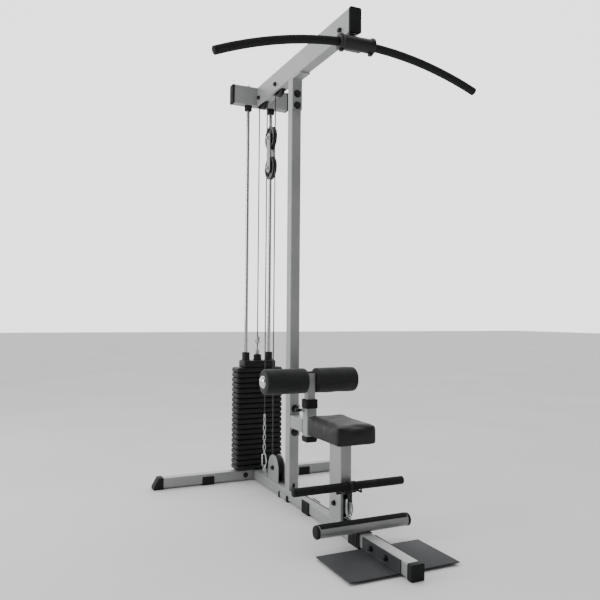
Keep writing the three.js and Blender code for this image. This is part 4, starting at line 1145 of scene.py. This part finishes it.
def oval(width, height, count=64):
    """Points on a closed path of two half circles joined by straight sides, in the (across, up) plane."""
    bend = width / 2
    side = max(height / 2 - bend, 0)
    total = 2 * math.pi * bend + 4 * side
    run = np.arange(count) / count * total
    flat = np.empty((count, 2))
    first = run < 2 * side
    flat[first] = np.column_stack([np.full(first.sum(), bend), -side + run[first]])
    run = run - 2 * side
    top = ~first & (run < math.pi * bend)
    flat[top] = np.column_stack([bend * np.cos(run[top] / bend), side + bend * np.sin(run[top] / bend)])
    run = run - math.pi * bend
    back = ~first & ~top & (run < 2 * side)
    flat[back] = np.column_stack([np.full(back.sum(), -bend), side - run[back]])
    run = run - 2 * side
    under = ~(first | top | back)
    flat[under] = np.column_stack([-bend * np.cos(run[under] / bend), -side - bend * np.sin(run[under] / bend)])
    return flat


def link(centre, width, height, wire, plane, count=40, sides=10):
    """A closed oval of round wire standing in the XZ ("x") or YZ ("y") plane; sizes are of its centreline."""
    flat = oval(width, height, count)
    along, across = (X, Y) if plane == "x" else (Y, X)
    path = np.array(centre) + flat[:, :1] * along + flat[:, 1:] * Z
    return carried(circle(wire, sides), path, across, closed=True)


def filleted(corners, radii, steps=7):
    """A closed polygon whose corners are arcs of the given radii, each tangent to both of its sides."""
    corners = np.array(corners, float)
    path = []
    for k, (corner, radius) in enumerate(zip(corners, radii)):
        back = corners[k - 1] - corner
        ahead = corners[(k + 1) % len(corners)] - corner
        back /= np.linalg.norm(back)
        ahead /= np.linalg.norm(ahead)
        half = math.acos(float(np.clip(back @ ahead, -1, 1))) / 2
        inward = (back + ahead) / np.linalg.norm(back + ahead)
        centre = corner + inward * radius / math.sin(half)
        first = corner + back * radius / math.tan(half) - centre
        last = corner + ahead * radius / math.tan(half) - centre
        for t in np.linspace(0, 1, steps):
            mid = (1 - t) * first + t * last
            path.append(centre + radius * mid / np.linalg.norm(mid))
    return np.array(path)


def snap_hook(node, wire):
    """A snap hook: a straight spine, a narrow top and a wide nose, and on its open side a sprung gate,
    which is a sleeve a little thicker than the wire between two collars."""
    a, b = low(node), high(node)
    centre = (a + b) / 2
    w, h = (b[0] - a[0]) / 2 - wire, (b[2] - a[2]) / 2 - wire
    corners = [(0.42 * w, h), (-w, h), (-w, -0.66 * h), (-0.4 * w, -h), (0.5 * w, -h), (w, -0.3 * h)]
    flat = filleted(corners, [0.3 * w, 0.36 * w, 0.6 * w, 0.3 * w, 0.35 * w, 0.9 * w])
    ring = carried(circle(wire, 14), centre + flat[:, :1] * X + flat[:, 1:] * Z, Y, closed=True)
    top, nose = np.array(corners[0]), np.array(corners[5])
    along = top[None] + np.array([0.2, 0.21, 0.26, 0.265, 0.8, 0.805, 0.86, 0.87])[:, None] * (nose - top)
    path = centre + along[:, :1] * X + along[:, 1:] * Z
    width = wire * np.array([1.1, 1.35, 1.35, 1.15, 1.15, 1.35, 1.35, 1.1])
    side = np.cross((path[-1] - path[0]) / np.linalg.norm(path[-1] - path[0]), Y)
    turn = circle(1, 16)
    rows = path[:, None] + width[:, None, None] * (turn[None, :, :1] * side + turn[None, :, 1:] * Y)
    rows = np.concatenate([np.repeat(path[:1, None], 16, axis=1), rows, np.repeat(path[-1:, None], 16, axis=1)])
    return [ring, grid(rows)]


class PULLDOWN_OT_anchor(Operator):
    """The chain, snap hook and staple that hold the low cable's back end to the base"""

    bl_idname = "pulldown.anchor"
    bl_label = "Chain anchor"

    def execute(self, context):
        place = middle("anchor_snap_hook")
        top_wire = high("anchor_snap_hook")[2] - 3.5 * MM
        d = sizes().chain_wire
        bottom = top_wire - 3.5 * MM - d
        top = low_cable_start() - 14 * MM
        count = 7
        pitch = (top - bottom - 2 * d) / count
        links = []
        for k in range(count):
            z = bottom + d + (k + 0.5) * pitch
            links.append(link((0, place[1], z), 2.3 * d, pitch + d, d / 2, "y" if k % 2 == 0 else "x", 32, 8))
        piece("chain_links", links, "zinc_plate", "frame", ["anchor_chain"])
        piece("anchor_hook", snap_hook("anchor_snap_hook", 3.5 * MM), "bright_chrome", "frame", ["anchor_snap_hook"])
        a, b = low("anchor_staple"), high("anchor_staple")
        wire = 3.5 * MM
        bend = (b[1] - a[1]) / 2 - wire
        rise = b[2] - wire - bend
        y = middle("anchor_staple")[1]
        turn = np.linspace(0, math.pi, 24)
        over = np.column_stack([np.zeros(24), y - bend * np.cos(turn), rise + bend * np.sin(turn)])
        near = straight((0, y - bend, a[2]), (0, y - bend, rise), 6)[:-1]
        far = straight((0, y + bend, rise), (0, y + bend, a[2]), 6)[1:]
        path = np.concatenate([near, over, far])
        piece("staple_wire", [carried(circle(wire, 16), path, X)], "zinc_plate", "frame", ["anchor_staple"])
        # The cable's thimble hooks the top link, and a pressed sleeve closes it.
        eye = link((0, place[1], top - d / 2 + 2 * MM), 11 * MM, 15 * MM, 2.2 * MM, "x", 32, 8)
        sleeve = [(0, 0), (4.6, 0), (5.4, 1.5), (5.4, 8), (5.0, 9), (5.4, 10), (5.4, 18), (4.4, 20), (0, 20)]
        collar = turned(scaled(sleeve, top + 7 * MM), "z", (0, place[1], 0), 24)
        piece("chain_end", [eye, collar], "zinc_plate", "frame")
        return {"FINISHED"}


# ------------------------------------------------------------------ cables
ROPE = 3 * MM
RUN = 56.6 * MM


def low_cable_start():
    """Height at which the low cable leaves its sleeve above the chain."""
    return high("anchor_chain")[2] + 20 * MM


def rope(name, path, body, replaces=()):
    """A run of coated rope with its own UV: once round it is 0..1 across, and its length in metres along."""
    path = np.array(path, float)
    keep = np.concatenate([[True], np.linalg.norm(np.diff(path, axis=0), axis=1) > 1e-6])
    path = path[keep]
    sides = 12
    points, quads = carried(circle(ROPE, sides), path, X)
    run = np.concatenate([[0], np.cumsum(np.linalg.norm(np.diff(path, axis=0), axis=1))])
    run = np.concatenate([[run[0]], run, [run[-1]]])
    around_it = np.tile(np.arange(sides) / sides, len(run))
    uv = np.column_stack([around_it, np.repeat(run, sides)])
    return piece(name, [(points, quads)], "coated_rope", body, replaces, sharp=60, uv=uv)


class PULLDOWN_OT_cables(Operator):
    """Both cables over their pulleys, in straight runs and arcs between the wheels and what they hold"""

    bl_idname = "pulldown.cables"
    bl_label = "Cables"

    def execute(self, context):
        front, mid, rear = middle("pulley_front"), middle("pulley_middle"), middle("pulley_rear")
        upper, lower = middle("pulley_float_upper"), middle("pulley_float_lower")
        near, post = middle("pulley_low"), middle("pulley_seat_post")

        def ahead(wheel):
            return wheel - RUN * Y

        def behind(wheel):
            return wheel + RUN * Y

        end = middle("lat_cable_end") * np.array([1, 0, 1]) + ahead(front) * np.array([0, 1, 0])
        end[2] = high("lat_cable_end")[2] + 0.2 * MM
        rope("pulldown_strand", straight(ahead(front), end, 24), ("frame", "cable_end", ahead(front), end))
        over = np.concatenate([arc(front, RUN, 0, 90), arc(mid, RUN, 90, 180)])
        rope("boom_strand", over, "frame", ["lat_cable"])
        rope("middle_strand", straight(behind(mid), ahead(upper), 16), ("frame", "float_block", behind(mid), ahead(upper)))
        rope("float_upper_loop", arc(upper, RUN, 0, -180, 36), "float_block")
        rope("rear_strand", straight(behind(upper), ahead(rear), 16), ("float_block", "frame", behind(upper), ahead(rear)))
        rope("rear_loop", arc(rear, RUN, 0, 180, 36), "frame")
        clamp = behind(rear) * np.array([1, 1, 0]) + (high("stack_head")[2] - 1 * MM) * Z
        rope("stack_strand", straight(behind(rear), clamp, 40), ("frame", "lifted_stack", behind(rear), clamp))

        start = behind(lower) * np.array([1, 1, 0]) + low_cable_start() * Z
        rope("anchor_strand", straight(start, behind(lower), 40), ("frame", "float_block", start, behind(lower)))
        rope("float_lower_loop", arc(lower, RUN, 180, 0, 36), "float_block")
        rope("long_strand", straight(ahead(lower), behind(near), 40), ("float_block", "frame", ahead(lower), behind(near)))
        under = np.concatenate([arc(near, RUN, -180, -90), arc(post, RUN, -90, -66, 8)])
        rope("base_strand", under, "frame", ["low_cable"])
        leave = arc(post, RUN, -66, -66, 1)[0]
        hook = middle("low_snap_hook")
        wire = np.array([0, hook[1], low("low_snap_hook")[2] + 3.6 * MM])
        way = (wire - leave) / np.linalg.norm(wire - leave)
        stop = wire - 9 * MM * way
        rope("row_strand", straight(leave, stop, 12), ("frame", "low_hook", leave, stop))
        # The thimble round the snap hook's wire and the pressed sleeve behind it.
        turn = np.arange(32) * 2 * math.pi / 32
        loop = wire + 8.2 * MM * np.stack([np.zeros(32), np.cos(turn), np.sin(turn)], axis=1)
        eye = carried(circle(2.4 * MM, 10), loop, X, closed=True)
        ring = circle(1, 20)
        lift = np.cross(way, X)
        rows = []
        for radius, back in [(0, 9), (4.6, 9), (5.4, 10.5), (5.4, 25), (4.6, 26.5), (0, 26.5)]:
            flat = radius * MM * (ring[:, :1] * X + ring[:, 1:] * lift)
            rows.append(wire - back * MM * way + flat)
        piece("row_cable_end", [eye, grid(np.stack(rows))], "zinc_plate", "low_hook")
        return {"FINISHED"}


# ------------------------------------------------------------------ stage
def area_light(name, place, target, size, power, tint="ffffff"):
    """A soft square light at a place, turned to face a target."""
    data = bpy.data.lights.new(name, "AREA")
    data.shape = "SQUARE"
    data.size = size
    data.energy = power
    data.color = linear(tint)
    obj = bpy.data.objects.new(name, data)
    way = Matrix.Translation(place) @ aim(np.array(target) - np.array(place))
    obj.matrix_world = way
    bpy.context.scene.collection.objects.link(obj)
    return obj


def aim(direction):
    """A rotation that turns -Z to a direction, with Z kept up."""
    back = -np.array(direction, float) / np.linalg.norm(direction)
    right = np.cross(Z, back)
    right /= np.linalg.norm(right)
    up = np.cross(back, right)
    turn = Matrix.Identity(4)
    for k in range(3):
        turn[k][0], turn[k][1], turn[k][2] = right[k], up[k], back[k]
    return turn


class PULLDOWN_OT_stage(Operator):
    """A plain pale floor, soft studio lights and the camera"""

    bl_idname = "pulldown.stage"
    bl_label = "Stage"

    def execute(self, context):
        # Matt floor paint: even, with the faintest clouding of a rolled coat.
        tree, shader = start_material("studio_floor", 0.9, 0.0)
        place = add(tree, "ShaderNodeTexCoord").outputs["Object"]
        cloud = add(tree, "ShaderNodeTexNoise", noise(900, 2), Vector=place).outputs["Fac"]
        two_tone(tree, shader, cloud, "dedede", "e3e3e3")
        mesh = bpy.data.meshes.new("floor")
        size = 30.0
        mesh.from_pydata([(-size, -size, 0), (size, -size, 0), (size, size, 0), (-size, size, 0)], [], [(0, 1, 2, 3)])
        mesh.materials.append(MATERIALS["studio_floor"])
        floor = bpy.data.objects.new("floor", mesh)
        context.scene.collection.objects.link(floor)

        # The studio: bright behind the machine and dim in front of it, as a lit backdrop is.
        world = bpy.data.worlds.new("studio")
        world.use_nodes = True
        tree = world.node_tree
        way = add(tree, "ShaderNodeTexCoord").outputs["Generated"]
        toward = add(tree, "ShaderNodeVectorMath", {"operation": "DOT_PRODUCT", 1: (0.42, 0.90, 0.1)}, i0=way).outputs["Value"]
        ramp = {"interpolation_type": "SMOOTHSTEP", "From Min": -0.3, "From Max": 0.95, "To Min": 0.3, "To Max": 2.4}
        span = add(tree, "ShaderNodeMapRange", ramp, Value=toward)
        tree.links.new(span.outputs["Result"], tree.nodes["Background"].inputs["Strength"])
        tree.nodes["Background"].inputs["Color"].default_value = (1, 1, 1, 1)
        context.scene.world = world
        area_light("key", (-4.6, 0.4, 2.0), (0, 0, 1.0), 2.4, 125)
        area_light("overhead", (-0.4, -0.3, 4.6), (0, 0, 1.0), 3.2, 30)

        # Right, up and forward of a camera turned 25 degrees to its right, 1.4 degrees up, rolled 0.4.
        turn, pitch, roll = math.radians(-25.07), math.radians(1.41), math.radians(0.43)
        forward = np.array([-math.sin(turn) * math.cos(pitch), math.cos(turn) * math.cos(pitch), math.sin(pitch)])
        level = np.array([math.cos(turn), math.sin(turn), 0])
        upright = np.cross(level, forward)
        right = math.cos(roll) * level + math.sin(roll) * upright
        up = -math.sin(roll) * level + math.cos(roll) * upright
        pose = Matrix.Identity(4)
        for k in range(3):
            pose[k][0], pose[k][1], pose[k][2] = right[k], up[k], -forward[k]
            pose[k][3] = (-1.2683, -2.5385, 0.8767)[k]
        data = bpy.data.cameras.new("camera")
        data.sensor_width = 36
        data.lens = 38.55
        data.clip_end = 100
        camera = bpy.data.objects.new("camera", data)
        camera.matrix_world = pose
        context.scene.collection.objects.link(camera)
        context.scene.camera = camera
        return {"FINISHED"}


# ------------------------------------------------------------------ panel and registration
OPERATORS = (
    PULLDOWN_OT_stage,
    PULLDOWN_OT_finishes,
    PULLDOWN_OT_welds,
    PULLDOWN_OT_plugs,
    PULLDOWN_OT_fasteners,
    PULLDOWN_OT_pulleys,
    PULLDOWN_OT_floating_block,
    PULLDOWN_OT_weight_stack,
    PULLDOWN_OT_stack_head,
    PULLDOWN_OT_guide_rods,
    PULLDOWN_OT_seat,
    PULLDOWN_OT_rollers,
    PULLDOWN_OT_holder,
    PULLDOWN_OT_foot_rests,
    PULLDOWN_OT_pulldown_bar,
    PULLDOWN_OT_row_bar,
    PULLDOWN_OT_anchor,
    PULLDOWN_OT_cables,
)


class PULLDOWN_PT_panel(Panel):
    """Sizes, colours and pieces of the machine"""

    bl_idname = "PULLDOWN_PT_panel"
    bl_label = "Lat pulldown machine"
    bl_space_type = "VIEW_3D"
    bl_region_type = "UI"
    bl_category = "Pulldown"

    def draw(self, context):
        layout = self.layout
        for group in (context.scene.pulldown_sizes, context.scene.pulldown_finish):
            box = layout.box()
            for name in group.bl_rna.properties.keys():
                if name not in {"rna_type", "name"}:
                    box.prop(group, name)
        for operator in OPERATORS:
            layout.operator(operator.bl_idname)


CLASSES = (PulldownFinish, PulldownSizes, *OPERATORS, PULLDOWN_PT_panel)


def register():
    for made in CLASSES:
        bpy.utils.register_class(made)
    bpy.types.Scene.pulldown_finish = PointerProperty(type=PulldownFinish)
    bpy.types.Scene.pulldown_sizes = PointerProperty(type=PulldownSizes)


def unregister():
    del bpy.types.Scene.pulldown_sizes
    del bpy.types.Scene.pulldown_finish
    for made in reversed(CLASSES):
        bpy.utils.unregister_class(made)


def main():
    """Registers the add-on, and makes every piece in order."""
    register()
    for operator in OPERATORS:
        group, name = operator.bl_idname.split(".")
        getattr(getattr(bpy.ops, group), name)()


if __name__ == "__main__":
    main()
